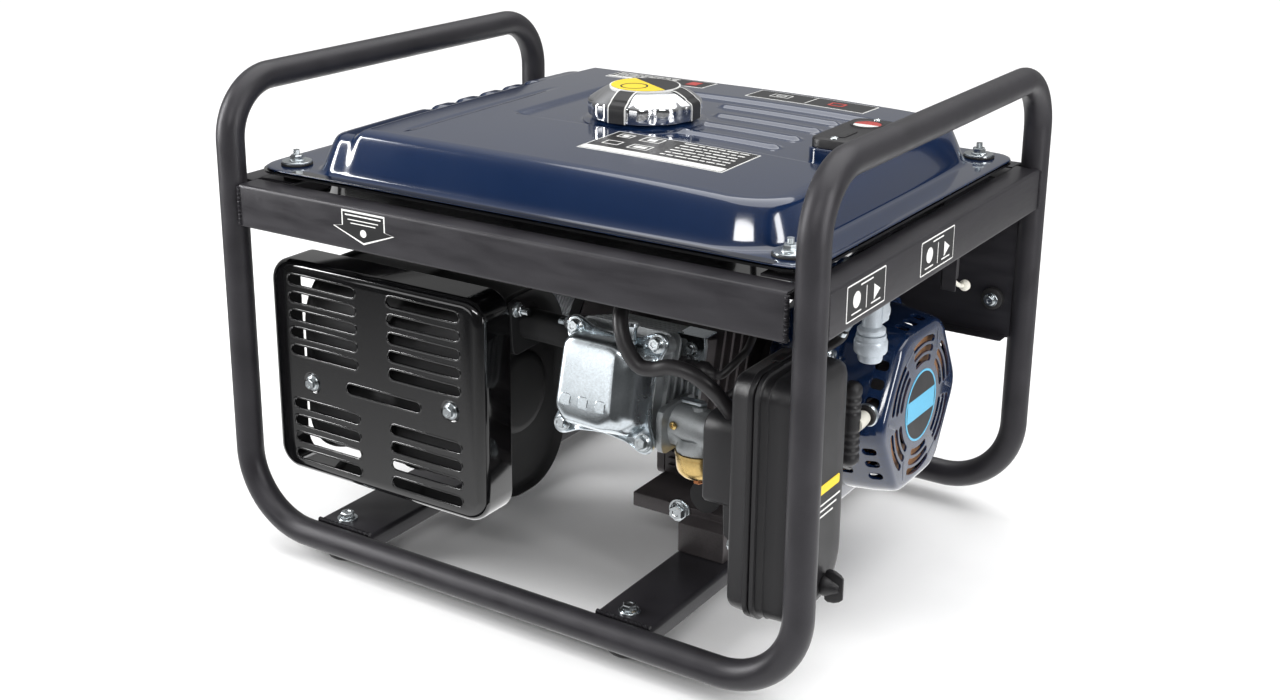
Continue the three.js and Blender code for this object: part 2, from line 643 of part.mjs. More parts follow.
function recoilCover() {
  const [near, far] = COVER_X;
  const outline = (r) => new THREE.Shape(polygon(r, 6).getPoints().flatMap((corner, i, all) => {
    const next = all[(i + 1) % all.length];
    const last = all[(i + all.length - 1) % all.length];
    return [last, next].map((other) => corner.clone().lerp(other, 0.12));
  }));
  const drum = loft("x", outline(92), [{ at: near }, { at: far - 7, sa: 0.93 }, { at: far, sa: 0.86 }]);
  const hollow = loft("x", outline(89), [
    { at: near - 1 }, { at: far - 9, sa: 0.93 }, { at: far - 3, sa: 0.87 },
  ]);
  const slots = Array.from({ length: 12 }, (_, i) => {
    const shape = new THREE.Shape(slotPoints(0, 53, 20, 9));
    return prism("x", shape, [far - 8, far + 1]).rotate([i * 30 + 15, 0, 0]);
  });
  const post = rod("x", 6, [near + 4, far - 2], 12);
  const guide = rod("y", 8.2, [GUIDE.mouth, -61], 10, GUIDE.x, GUIDE.z);
  const eye = rod("y", 3.7, [GUIDE.mouth - 1, -52], 8, GUIDE.x, GUIDE.z);
  return cut(join(cut(drum, hollow, ...slots), post, guide), eye);
}

function pulley() {
  return lathe("x", [[6.4, 130], [PULLEY_R, 130], [PULLEY_R - 4, 133], [PULLEY_R - 4, 137], [PULLEY_R, 140],
    [6.4, 140], [6.4, 130]], 14);
}

function starterGrip() {
  const profile = [[0, -42], [6, -41], [9.5, -36], [9, -12], [9, 12], [9.5, 30], [6, 35], [0, 36]];
  const neckEnd = GUIDE.mouth - 1 - GRIP.y;
  return join(lathe("z", profile, 14), rod("y", 7, [0, neckEnd], 12, GUIDE.x - GRIP.x, GUIDE.z - GRIP.z));
}

function starterParts() {
  const grip = piece("starter_grip", MATERIAL.plastic, starterGrip());
  grip.position.set(GRIP.x, GRIP.y, GRIP.z);
  return [
    piece("flywheel", MATERIAL.castLight, flywheel()),
    piece("fan_housing", MATERIAL.navy, fanHousing()),
    piece("recoil_cover", MATERIAL.navy, recoilCover()),
    piece("starter_pulley", MATERIAL.plastic, pulley()),
    grip,
    piece("starter_rope", MATERIAL.rope, rod("y", 2.5, [GUIDE.mouth - 1 + GAP, -52], 8, GUIDE.x, GUIDE.z)),
  ];
}

// ---------- exhaust ----------
function exhaustPipe() {
  const [start, end] = [[36.5, -140, 243], [MUFFLER.x[1] + 4 + GAP, -145, 246]];
  const flange = (x, [, y, z]) => prism("x", roundedRect([y - 21, y + 21], [z - 21, z + 21], 8, 2), x);
  return join(
    tube(bentPath([start, [14, -140, 243], [-8, -145, 246], end], 30, 2), 14),
    flange([30, 36.5], start),
    flange([end[0], end[0] + 6], end),
  );
}

function muffler() {
  const outline = roundedRect(MUFFLER.y, MUFFLER.z, MUFFLER.cornerR, 4);
  const middle = [(MUFFLER.y[0] + MUFFLER.y[1]) / 2, (MUFFLER.z[0] + MUFFLER.z[1]) / 2];
  const rimScale = { sa: 1.05, sb: 1.03, a: -0.05 * middle[0], b: -0.03 * middle[1] };
  const rims = [MUFFLER.x[0], MUFFLER.x[1]].map((x) =>
    loft("x", outline, [{ at: x - 3, ...rimScale }, { at: x + 4, ...rimScale }]));
  const outlet = rod("x", 11, [MUFFLER.x[0] - 12, MUFFLER.x[0] + 1], 14, -130, 130);
  const bore = rod("x", 9, [MUFFLER.x[0] - 13, MUFFLER.x[0] + 30], 14, -130, 130);
  return cut(join(prism("x", outline, MUFFLER.x), ...rims, outlet), bore);
}

const GUARD_SLOT = { length: 80, height: 9, columns: [-208, -91] };
const GUARD_BOLTS = [[-224, 167], [-62, 176]];

function mufflerGuardSlots() {
  const rows = [264, 247, 230, 213, 196];
  const lower = [143, 126, 109, 92];
  const slots = [];
  for (const x of GUARD_SLOT.columns) {
    for (const z of [...rows, ...lower]) slots.push(slotPoints(x, z, GUARD_SLOT.length, GUARD_SLOT.height));
  }
  slots.push(slotPoints(-139, 171, 86, GUARD_SLOT.height));
  return slots;
}

function mufflerGuard() {
  const [front, back] = GUARD.y;
  const shell = cut(
    prism("y", roundedRect(GUARD.x, GUARD.z, 16), GUARD.y),
    prism("y", roundedRect([GUARD.x[0] + SHEET, GUARD.x[1] - SHEET], [GUARD.z[0] + SHEET, GUARD.z[1] - SHEET],
      16 - SHEET), [front + SHEET, back + 1]),
    ...mufflerGuardSlots().map((points) => prism("y", new THREE.Shape(points), [front - 1, front + 3])),
  );
  const bosses = GUARD_BOLTS.map(([x, z]) => rod("y", 9, [front + SHEET - 1, MUFFLER.y[0] - 4], 12, x, z));
  return join(shell, ...bosses);
}

// ---------- intake ----------
const CARB = { x: 156, y: -155, z: 192 };

function carburettorParts() {
  const body = join(
    rod("x", 18, [-24.5, 22], 14),
    prism("x", roundedRect([-27, 27], [-20, 20], 8, 2), [-25.5, -20]),
    rod("z", 19.4, [-18.3, -5.3], 14),
    rod("z", 6.2, [9.7, 20], 10),
  );
  const bowl = lathe("z", [[0, -43], [12, -42], [19, -36], [20, -18.6], [0, -18.6]], 14);
  const arm = join(
    rod("z", 3, [20.3, 24], 10),
    prism("z", new THREE.Shape(slotPoints(-6, 0, 26, 8)), [21.5, 24]),
  );
  return group([CARB.x, CARB.y, CARB.z],
    piece("carburettor_body", MATERIAL.castLight, body),
    piece("float_bowl", MATERIAL.brass, bowl),
    piece("throttle_arm", MATERIAL.zinc, arm));
}

function intakeDuct() {
  const start = CARB.x + 22 + GAP;
  const duct = (inset) => roundedRect([-190 + inset, -138 - inset], [146 + inset, 222 - inset], 12);
  const outer = prism("x", duct(0), [start, FILTER.back - GAP]);
  const hollow = prism("x", duct(3), [start + 3, FILTER.back + 1]);
  return cut(outer, hollow, rod("x", 14, [start - 1, start + 4], 14, CARB.y, CARB.z));
}

// Seen along X: three small corners and one large one at the bottom, towards +Y.
function filterOutline(inset) {
  const { y, z } = FILTER;
  const r = [20, 20, 20, 45].map((corner) => corner - inset);
  return roundedRect([y[0] + inset, y[1] - inset], [z[0] + inset, z[1] - inset], r);
}

const KNOB = { y: -150, z: 82 };
const FILTER_STEP = 3.5; // walls inside the seam flange

function filterParts() {
  const { back, seam, front } = FILTER;
  const wall = 4.5;
  const body = join(
    prism("x", filterOutline(FILTER_STEP), [back, seam - GAP]),
    prism("x", filterOutline(0), [seam - 5, seam - GAP]),
  );
  const throat = prism("x", roundedRect([-184, -144], [152, 216], 9), [back - 1, back + 4]);
  const pillar = rod("x", 5, [back + 1, seam - GAP], 10, KNOB.y, KNOB.z);
  const hollow = prism("x", filterOutline(FILTER_STEP + 3), [back + 3, seam + 1]);
  const filterCase = join(cut(body, hollow, throat), pillar);
  const levels = (from, to) => [{ at: from }, { at: to - 6 }, ...crowned(to, 0.965)];
  const shell = join(
    loft("x", filterOutline(FILTER_STEP), levels(seam, front)),
    prism("x", filterOutline(0), [seam, seam + 5]),
  );
  const cover = cut(
    shell,
    loft("x", filterOutline(FILTER_STEP + 3), levels(seam - 1, front - 3)),
    rod("x", 5.5, [front - 8, front + 1], 10, KNOB.y, KNOB.z),
  );
  const element = prism("x", roundedRect([-200, -126], [112, 256], 14), [back + wall, front - 10]);
  const wing = join(
    rod("x", 9, [front + GAP, front + 8], 14, KNOB.y, KNOB.z),
    rod("x", 4.8, [seam + 1, front + 2], 10, KNOB.y, KNOB.z),
    block([front + 4, front + 18], [KNOB.y - 3, KNOB.y + 3], [KNOB.z - 15, KNOB.z + 15]),
  );
  return [
    piece("air_filter_case", MATERIAL.plastic, filterCase),
    piece("air_filter_cover", MATERIAL.plastic, cover),
    piece("air_filter_element", MATERIAL.foam, element),
    piece("air_filter_knob", MATERIAL.plastic, wing),
    piece("intake_duct", MATERIAL.plastic, intakeDuct()),
  ];
}

// The last level of a lid, drawn in towards the middle of the filter box.
function crowned(at, scale) {
  const middle = (span) => ((span[0] + span[1]) / 2) * (1 - scale);
  return [{ at, sa: scale, sb: scale, a: middle(FILTER.y), b: middle(FILTER.z) }];
}

// ---------- control panel, on the +Y side ----------
const SWITCH = { x: -6, z: 286 };
const BREAKER = { x: -6, z: 232 };
const OUTLETS = [["outlet_left", 66], ["outlet_right", 140]];
const METER = { x: 214, z: 280 };

function controlPanel() {
  const plate = prism("y", roundedRect(PANEL.x, PANEL.z, 4, 2), [PANEL.y, PANEL.y + SHEET]);
  const flange = block(PANEL.x, [PANEL.y - 14, PANEL.y + SHEET], [PANEL.z[0], PANEL.z[0] + SHEET]);
  const openings = [
    ...OUTLETS.map(([, x]) => rod("y", 23, [PANEL.y - 1, PANEL.y + 3], 20, x, 260)),
    rod("y", 7, [PANEL.y - 1, PANEL.y + 3], 12, BREAKER.x, BREAKER.z),
    rod("y", 20, [PANEL.y - 1, PANEL.y + 3], 20, METER.x, METER.z),
    block([SWITCH.x - 9.5, SWITCH.x + 9.5], [PANEL.y - 1, PANEL.y + 3], [SWITCH.z - 14.5, SWITCH.z + 14.5]),
  ];
  return cut(join(plate, flange), ...openings);
}

function outlet() {
  const face = [PANEL.y + SHEET + GAP, PANEL.y + 10];
  const whole = join(
    prism("y", roundedRect([-29, 29], [-29, 29], 8), face),
    rod("y", 22, [PANEL.y - 22, PANEL.y + 4], 20),
  );
  const well = rod("y", 20, [PANEL.y - 6, PANEL.y + 11], 20);
  const pins = [-9.5, 9.5].map((x) => rod("y", 2.6, [PANEL.y - 18, PANEL.y - 5], 8, x, 0));
  return cut(whole, well, ...pins);
}

function panelParts() {
  const front = PANEL.y + SHEET;
  const rocker = join(
    block([-8.8, 8.8], [PANEL.y - 4, front + 2], [-13.8, 13.8]),
    prism("x", new THREE.Shape([[front + 1, -13], [front + 7, -10], [front + 3, 0], [front + 4, 13],
      [front + 1, 13]].map(([y, z]) => new THREE.Vector2(y, z))), [-7.5, 7.5]),
  );
  const button = join(
    rod("y", 6.4, [PANEL.y - 8, front + 9], 14),
    rod("y", 8, [PANEL.y - 12, PANEL.y - 8], 14),
  );
  const meterBody = cut(
    join(rod("y", 24, [front + GAP, front + 8], 24), rod("y", 19, [PANEL.y - 20, front + 4], 20)),
    rod("y", 20, [front + 3, front + 9], 20),
  );
  const needle = join(
    rod("y", 2.5, [front + 3.4, front + 6], 10),
    block([-0.8, 0.8], [front + 4, front + 5.5], [0, 15]),
  );
  const sockets = OUTLETS.map(([name, x]) => group([x, 0, 260], piece(name, MATERIAL.plastic, outlet())));
  return [
    piece("control_panel", MATERIAL.sheet, controlPanel()),
    group([SWITCH.x, 0, SWITCH.z], piece("engine_switch", MATERIAL.red, rocker)),
    group([BREAKER.x, 0, BREAKER.z], piece("breaker_button", MATERIAL.plastic, button)),
    group([METER.x, 0, METER.z],
      piece("voltmeter_body", MATERIAL.plastic, meterBody),
      piece("voltmeter_needle", MATERIAL.red, needle)),
    ...sockets,
  ];
}

const generator = group([0, 0, 0],
  ...frameParts(),
  ...tankParts(),
  fuelValveParts(),
  chokeLever(),
  engineParts(),
  piece("exhaust_pipe", MATERIAL.heatBlack, exhaustPipe()),
  piece("muffler", MATERIAL.heatBlack, muffler()),
  piece("muffler_guard", MATERIAL.glossBlack, mufflerGuard()),
  carburettorParts(),
  ...filterParts(),
  ...panelParts());

export default generator;
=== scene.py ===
import math

import bmesh
import bpy
import numpy as np
from mathutils import Matrix, Vector


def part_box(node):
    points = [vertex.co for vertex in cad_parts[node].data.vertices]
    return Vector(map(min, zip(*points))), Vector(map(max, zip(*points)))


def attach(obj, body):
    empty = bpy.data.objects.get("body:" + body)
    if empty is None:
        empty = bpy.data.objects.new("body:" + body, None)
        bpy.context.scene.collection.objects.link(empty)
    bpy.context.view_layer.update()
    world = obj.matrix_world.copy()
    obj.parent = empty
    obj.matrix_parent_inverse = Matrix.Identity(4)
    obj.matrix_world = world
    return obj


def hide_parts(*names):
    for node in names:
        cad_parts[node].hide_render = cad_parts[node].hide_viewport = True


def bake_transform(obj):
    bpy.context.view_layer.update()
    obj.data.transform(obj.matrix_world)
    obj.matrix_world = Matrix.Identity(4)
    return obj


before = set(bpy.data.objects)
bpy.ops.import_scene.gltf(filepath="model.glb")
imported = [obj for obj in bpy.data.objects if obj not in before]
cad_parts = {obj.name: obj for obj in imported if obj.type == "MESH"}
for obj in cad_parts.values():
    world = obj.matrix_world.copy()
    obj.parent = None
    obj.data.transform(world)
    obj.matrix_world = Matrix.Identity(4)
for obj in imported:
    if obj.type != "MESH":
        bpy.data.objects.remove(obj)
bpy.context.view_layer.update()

MM = 0.001

# ---------- the frame in millimetres ----------


def span(node):
    """Lowest and highest corner of a CAD node, in millimetres."""
    lo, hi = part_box(node)
    return np.array(lo) / MM, np.array(hi) / MM


def middle(node):
    lo, hi = span(node)
    return (lo + hi) / 2


# ---------- camera ----------
# The camera stands off the front right corner, looking slightly down.
CAMERA_AT = Vector((0.7893, -1.2488, 0.7270))
CAMERA_AZIMUTH, CAMERA_ELEVATION, CAMERA_ROLL = (math.radians(a) for a in (33.11, 17.36, 0.31))
CAMERA_LENS = 46.63
CAMERA_SHIFT = (0.0165, -0.0661)


def make_camera():
    data = bpy.data.cameras.new("camera")
    data.lens = CAMERA_LENS
    data.shift_x, data.shift_y = CAMERA_SHIFT
    camera = bpy.data.objects.new("camera", data)
    ca, sa = math.cos(CAMERA_AZIMUTH), math.sin(CAMERA_AZIMUTH)
    ce, se = math.cos(CAMERA_ELEVATION), math.sin(CAMERA_ELEVATION)
    forward = Vector((-sa * ce, ca * ce, -se))
    right = Matrix.Rotation(-CAMERA_ROLL, 3, forward) @ Vector((ca, sa, 0))
    up = right.cross(forward)
    turn = Matrix((right, up, -forward)).transposed().to_4x4()
    camera.matrix_world = Matrix.Translation(CAMERA_AT) @ turn
    bpy.context.collection.objects.link(camera)
    bpy.context.scene.camera = camera


def area_light(name, at, size, power, target=(0, 0, 0.2)):
    data = bpy.data.lights.new(name, "AREA")
    data.shape = "RECTANGLE"
    data.size, data.size_y = size
    data.energy = power
    light = bpy.data.objects.new(name, data)
    light.location = at
    light.rotation_euler = (Vector(target) - Vector(at)).to_track_quat("-Z", "Y").to_euler()
    bpy.context.collection.objects.link(light)


# ---------- floor and light ----------
# Strength of what shiny surfaces mirror: in front, behind, overhead and below.
WORLD_FRONT, WORLD_BACK, WORLD_ABOVE, WORLD_BELOW = 0.07, 0.40, 0.5, 1.3
WHITE = (1, 1, 1, 1)
FLOOR_HALF, FLOOR_GAP = 8, 0.0005
SUN_STRENGTH, SUN_SPREAD = 2.6, math.radians(80)


def add_node(tree, kind, operation=None, **inputs):
    """A new shader node; inputs are given by name, with _ for each space."""
    node = tree.nodes.new("ShaderNode" + kind)
    if operation:
        node.operation = operation
    for key, value in inputs.items():
        node.inputs[key.replace("_", " ")].default_value = value
    return node


def make_world():
    """White behind everything; what the surfaces mirror is dark in front, brighter behind and overhead."""
    world = bpy.data.worlds.new("studio")
    world.use_nodes = True
    tree = world.node_tree
    seen = tree.nodes["Background"]
    seen.inputs["Color"].default_value = WHITE
    axes = add_node(tree, "SeparateXYZ")
    tree.links.new(add_node(tree, "TexCoord").outputs["Generated"], axes.inputs["Vector"])

    def band(axis, start, end, low, high):
        made = add_node(tree, "MapRange", From_Min=start, From_Max=end, To_Min=low, To_Max=high)
        tree.links.new(axes.outputs[axis], made.inputs["Value"])
        return made.outputs["Result"]

    strength = band("Y", -0.5, 0.6, WORLD_FRONT, WORLD_BACK)
    for more in (band("Z", 0.35, 0.9, 0, WORLD_ABOVE), band("Z", -0.28, -0.50, 0, WORLD_BELOW)):
        total = add_node(tree, "Math", "ADD")
        tree.links.new(strength, total.inputs[0])
        tree.links.new(more, total.inputs[1])
        strength = total.outputs[0]
    mirrored = add_node(tree, "Background")
    tree.links.new(strength, mirrored.inputs["Strength"])
    choose = add_node(tree, "MixShader")
    tree.links.new(add_node(tree, "LightPath").outputs["Is Camera Ray"], choose.inputs["Fac"])
    tree.links.new(mirrored.outputs[0], choose.inputs[1])
    tree.links.new(seen.outputs[0], choose.inputs[2])
    tree.links.new(choose.outputs[0], tree.nodes["World Output"].inputs["Surface"])
    bpy.context.scene.world = world


def make_sun():
    data = bpy.data.lights.new("overhead", "SUN")
    data.energy = SUN_STRENGTH
    data.angle = SUN_SPREAD
    sun = bpy.data.objects.new("overhead", data)
    sun.rotation_euler = (math.radians(-12), math.radians(6), 0)
    bpy.context.collection.objects.link(sun)


def make_floor():
    """A plain pale floor, left out of the reflections so that glossy paint stays deep."""
    mesh = bpy.data.meshes.new("floor")
    corners = [(x * FLOOR_HALF, y * FLOOR_HALF, 0) for x, y in ((-1, -1), (1, -1), (1, 1), (-1, 1))]
    mesh.from_pydata(corners, [], [(0, 1, 2, 3)])
    floor = bpy.data.objects.new("floor", mesh)
    floor.location.z = -FLOOR_GAP
    floor.visible_glossy = False
    bpy.context.collection.objects.link(floor)
    mesh.materials.append(surface("floor", (0.93, 0.93, 0.93), rough=0.6, mottle=0.01, bump=0))


def make_studio():
    make_world()
    make_sun()
    area_light("strip_left", (-1.7, -1.1, 0.9), (0.35, 1.5), 40)
    area_light("box_front", (-0.97, -1.96, 0.50), (1.1, 0.5), 3.0)
    area_light("strip_right", (1.9, -0.35, 0.8), (0.35, 1.3), 16)
    area_light("strip_front", (0.9, -2.3, 1.7), (1.4, 0.25), 16)
    make_floor()
    bpy.context.scene.view_settings.view_transform = "Standard"


# ---------- materials ----------
COAT_ROUGH, BUMP_DEPTH = 0.06, 0.0006
FINE_SHARE, RAMP_STOPS = 0.45, (0.32, 0.68)


def surface(name, colour, rough=0.5, metal=0.0, coat=0.0, grain=900, bump=0.1, mottle=0.06,
            mottle_scale=14, rough_spread=0.08, stretch=(1, 1, 1), specular=0.5, sheen=0.0):
    """A material with mottled colour and roughness, and a fine grain that lifts the surface."""
    made = bpy.data.materials.new(name)
    made.use_nodes = True
    tree = made.node_tree
    link = tree.links.new
    shader = tree.nodes["Principled BSDF"]
    for key, value in (("Metallic", metal), ("Specular IOR Level", specular), ("Coat Weight", coat),
                       ("Coat Roughness", COAT_ROUGH), ("Sheen Weight", sheen)):
        shader.inputs[key].default_value = value
    mapping = add_node(tree, "Mapping", Scale=stretch)
    link(add_node(tree, "TexCoord").outputs["Object"], mapping.inputs["Vector"])

    def noise(scale, detail):
        made_noise = add_node(tree, "TexNoise", Scale=scale, Detail=detail)
        link(mapping.outputs["Vector"], made_noise.inputs["Vector"])
        return made_noise.outputs["Fac"]

    broad = noise(mottle_scale, 4)
    fine = noise(grain, 3)
    ramp = add_node(tree, "ValToRGB")
    dark = [c * (1 - mottle * 2.2) for c in colour]
    light = [min(1, c * (1 + mottle * 2.2) + mottle * 0.01) for c in colour]
    for stop, place, shade in zip(ramp.color_ramp.elements, RAMP_STOPS, (dark, light)):
        stop.color = (*shade, 1)
        stop.position = place
    scaled = add_node(tree, "Math", "MULTIPLY")
    scaled.inputs[1].default_value = 1 - FINE_SHARE
    blend = add_node(tree, "Math", "MULTIPLY_ADD")
    blend.inputs[1].default_value = FINE_SHARE
    link(broad, scaled.inputs[0])
    link(fine, blend.inputs[0])
    link(scaled.outputs[0], blend.inputs[2])
    link(blend.outputs[0], ramp.inputs["Fac"])
    link(ramp.outputs["Color"], shader.inputs["Base Color"])
    spread = add_node(tree, "MapRange", From_Min=0.3, From_Max=0.7, To_Min=max(0.02, rough - rough_spread),
                      To_Max=min(1, rough + rough_spread))
    link(broad, spread.inputs["Value"])
    link(spread.outputs["Result"], shader.inputs["Roughness"])
    if bump:
        lift = add_node(tree, "Bump", Strength=bump, Distance=BUMP_DEPTH)
        link(fine, lift.inputs["Height"])
        link(lift.outputs["Normal"], shader.inputs["Normal"])
    return made


def make_materials():
    return {
        "frame": surface("frame_powder_coat", (0.028, 0.0265, 0.031), 0.38, 0.25, grain=1500, bump=0.28,
                         mottle=0.10, mottle_scale=30),
        "sheet": surface("rail_satin_paint", (0.028, 0.0265, 0.031), 0.36, 0.25, grain=1100, bump=0.12,
                         mottle=0.10, mottle_scale=22, stretch=(1, 1, 5)),
        "navy": surface("navy_enamel", (0.005, 0.017, 0.056), 0.14, 0.0, coat=1.0, grain=260, bump=0.015,
                        mottle=0.03, rough_spread=0.03),
        "gloss_black": surface("gloss_black_enamel", (0.003, 0.003, 0.0035), 0.11, 0.0, coat=0.9, grain=240,
                               bump=0.02, mottle=0.05, rough_spread=0.04),
        "heat_black": surface("heat_paint", (0.010, 0.010, 0.011), 0.62, 0.1, grain=1600, bump=0.25,
                              mottle=0.14),
        "chrome": surface("chrome_plate", (0.76, 0.77, 0.79), 0.13, 1.0, grain=60, bump=0.006, mottle=0.02,
                          rough_spread=0.03),
        "zinc": surface("zinc_plate", (0.70, 0.76, 0.80), 0.26, 1.0, grain=420, bump=0.03, mottle=0.06,
                        rough_spread=0.07),
        "bolt": surface("bolt_zinc", (0.60, 0.64, 0.66), 0.26, 1.0, grain=700, bump=0.06, mottle=0.08),
        "steel": surface("machined_steel", (0.36, 0.37, 0.39), 0.34, 1.0, grain=900, bump=0.08,
                         stretch=(6, 1, 1)),
        "cast_light": surface("bare_casting", (0.40, 0.42, 0.43), 0.46, 0.75, grain=1300, bump=0.35,
                              mottle=0.12, mottle_scale=40),
        "cast_grey": surface("grey_casting", (0.070, 0.062, 0.064), 0.50, 0.35, grain=1200, bump=0.35,
                             mottle=0.14, mottle_scale=36),
        "brass": surface("gold_chromate", (0.70, 0.50, 0.20), 0.26, 1.0, grain=500, bump=0.04, mottle=0.08),
        "copper": surface("copper_winding", (0.50, 0.20, 0.08), 0.38, 0.9, grain=700, bump=0.3, mottle=0.15,
                          stretch=(1, 9, 1)),
        "plastic": surface("black_moulding", (0.011, 0.0105, 0.012), 0.40, grain=1700, bump=0.30,
                           mottle=0.06),
        "rubber": surface("black_rubber", (0.012, 0.0115, 0.012), 0.62, grain=1500, bump=0.25, mottle=0.12),
        "hose": surface("hose_rubber", (0.018, 0.0165, 0.018), 0.42, grain=1200, bump=0.12, mottle=0.12),
        "alloy": surface("pale_alloy", (0.52, 0.57, 0.62), 0.34, 0.35, grain=900, bump=0.10, mottle=0.06),
        "tan": surface("tan_lining", (0.47, 0.25, 0.13), 0.46, 0.3, grain=700, bump=0.15, mottle=0.12),
        "cream": surface("cream_moulding", (0.72, 0.70, 0.62), 0.34, grain=600, bump=0.05, mottle=0.03),
        "red": surface("red_moulding", (0.50, 0.030, 0.020), 0.32, coat=0.3, grain=600, bump=0.05,
                       mottle=0.05),
        "white": surface("white_print", (0.80, 0.80, 0.78), 0.45, grain=500, bump=0.03, mottle=0.03),
        "sky": surface("pale_blue_print", (0.12, 0.48, 0.72), 0.35, grain=500, bump=0.03, mottle=0.03),
        "ink": surface("black_print", (0.012, 0.012, 0.013), 0.35, grain=500, bump=0.03, mottle=0.05),
        "yellow": surface("yellow_print", (0.85, 0.62, 0.02), 0.40, grain=500, bump=0.03, mottle=0.03),
        "foam": surface("open_foam", (0.075, 0.075, 0.070), 0.95, grain=500, bump=1.0, mottle=0.25,
                        mottle_scale=300),
        "rope": surface("braided_cord", (0.72, 0.70, 0.64), 0.85, grain=900, bump=0.8, mottle=0.12,
                        sheen=0.3),
    }


# ---------- mesh building, in millimetres ----------
def arc(a, b, r, start, end, steps):
    t = np.radians(np.linspace(start, end, steps + 1))
    return np.stack([a + r * np.cos(t), b + r * np.sin(t)], 1)


def rounded(a, b, radii, steps=8):
    """A rounded rectangle; radii run anticlockwise from the corner at both high limits."""
    r = [radii] * 4 if np.isscalar(radii) else radii
    (a0, a1), (b0, b1) = a, b
    return np.vstack([
        arc(a1 - r[0], b1 - r[0], r[0], 0, 90, steps),
        arc(a0 + r[1], b1 - r[1], r[1], 90, 180, steps),
        arc(a0 + r[2], b0 + r[2], r[2], 180, 270, steps),
        arc(a1 - r[3], b0 + r[3], r[3], 270, 360, steps),
    ])


def circle(r, sides, a=0.0, b=0.0, start=0.0):
    return arc(a, b, r, start, start + 360, sides)[:-1]


def on_plane(points, axis, at):
    """Outline points placed at a height along an axis: x takes (y, z), y takes (x, z), z takes (x, y)."""
    p = np.asarray(points, float)
    level = np.full(len(p), float(at))
    columns = {"x": (level, p[:, 0], p[:, 1]), "y": (p[:, 0], level, p[:, 1]),
               "z": (p[:, 0], p[:, 1], level)}
    return np.stack(columns[axis], 1)


def loft(rings, caps=(True, True)):
    """Quads through rings of equal length, each closed round, with flat caps."""
    count = len(rings[0])
    verts = np.vstack(rings)
    faces = []
    for k in range(len(rings) - 1):
        for i in range(count):
            j = (i + 1) % count
            faces.append((k * count + i, k * count + j, (k + 1) * count + j, (k + 1) * count + i))
    if caps[0]:
        faces.append(tuple(range(count))[::-1])
    if caps[1]:
        start = (len(rings) - 1) * count
        faces.append(tuple(range(start, start + count)))
    return verts, faces


def revolve(profile, axis="z", centre=(0, 0, 0), sides=48):
    """A solid of revolution: profile points are (radius, height), from axis to axis or closed on itself."""
    closed = tuple(profile[0]) == tuple(profile[-1])
    rows = profile[:-1] if closed else profile
    verts, faces, index = [], [], []
    for r, h in rows:
        if r < 1e-6:
            index.append([len(verts)] * sides)
            verts.append((0, 0, h))
            continue
        index.append(list(range(len(verts), len(verts) + sides)))
        verts.extend((r * math.cos(t), r * math.sin(t), h)
                     for t in np.linspace(0, 2 * math.pi, sides, endpoint=False))
    pairs = list(zip(index, index[1:])) + ([(index[-1], index[0])] if closed else [])
    for low, high in pairs:
        for i in range(sides):
            j = (i + 1) % sides
            corner = [low[i], low[j], high[j], high[i]]
            face = [v for n, v in enumerate(corner) if v not in corner[:n]]
            if len(face) > 2:
                faces.append(tuple(face))
    v = np.array(verts, float)
    order = {"z": [0, 1, 2], "x": [2, 0, 1], "y": [1, 2, 0]}[axis]
    return v[:, order] + np.array(centre, float), faces


def smooth_path(points, radius, steps=10):
    """A polyline with its corners rounded to a radius."""
    p = [np.array(q, float) for q in points]
    out = [p[0]]
    for before, here, after in zip(p, p[1:], p[2:]):
        a, b = before - here, after - here
        la, lb = np.linalg.norm(a), np.linalg.norm(b)
        a, b = a / la, b / lb
        half = math.acos(np.clip(a @ b, -1, 1)) / 2
        if half > math.pi / 2 - 1e-3:
            continue
        reach = min(radius / math.tan(half), la * 0.49, lb * 0.49)
        r = reach * math.tan(half)
        centre = here + (a + b) / np.linalg.norm(a + b) * (r / math.sin(half))
        u = here + a * reach - centre
        w = here + b * reach - centre
        swing = math.acos(np.clip(u @ w / (r * r), -1, 1))
        for k in range(steps + 1):
            t = k / steps
            point = (math.sin((1 - t) * swing) * u + math.sin(t * swing) * w) / math.sin(swing)
            out.append(centre + point)
    out.append(p[-1])
    return np.array(out)


def spline_path(points, steps=8):
    """A smooth curve through given points."""
    p = np.array([points[0], *points, points[-1]], float)
    out = []
    for a, b, c, d in zip(p, p[1:], p[2:], p[3:]):
        for t in np.arange(steps) / steps:
            out.append(0.5 * (2 * b + (c - a) * t + (2 * a - 5 * b + 4 * c - d) * t**2
                              + (3 * b - a - 3 * c + d) * t**3))
    out.append(p[-1])
    return np.array(out)


def sweep(path, radius, sides=32):
    """A round bar along a path; radius may vary along it."""
    path = np.asarray(path, float)
    radii = np.broadcast_to(radius, len(path))
    tangent = np.gradient(path, axis=0)
    tangent /= np.linalg.norm(tangent, axis=1)[:, None]
    side = np.cross(tangent[0], (0, 0, 1) if abs(tangent[0][2]) < 0.9 else (1, 0, 0))
    rings = []
    for point, along, r in zip(path, tangent, radii):
        side = side - along * (side @ along)
        side /= np.linalg.norm(side)
        up = np.cross(along, side)
        t = np.linspace(0, 2 * math.pi, sides, endpoint=False)[:, None]
        rings.append(point + r * (np.cos(t) * side + np.sin(t) * up))
    return loft(rings)


def prism(outline, axis, low, high):
    return loft([on_plane(outline, axis, low), on_plane(outline, axis, high)])


def block(x, y, z):
    return prism([(x[0], y[0]), (x[1], y[0]), (x[1], y[1]), (x[0], y[1])], "z", *z)


def merged(*meshes):
    verts, faces, start = [], [], 0
    for v, f in meshes:
        verts.append(np.asarray(v, float))
        faces.extend(tuple(i + start for i in face) for face in f)
        start += len(v)
    return np.vstack(verts), faces


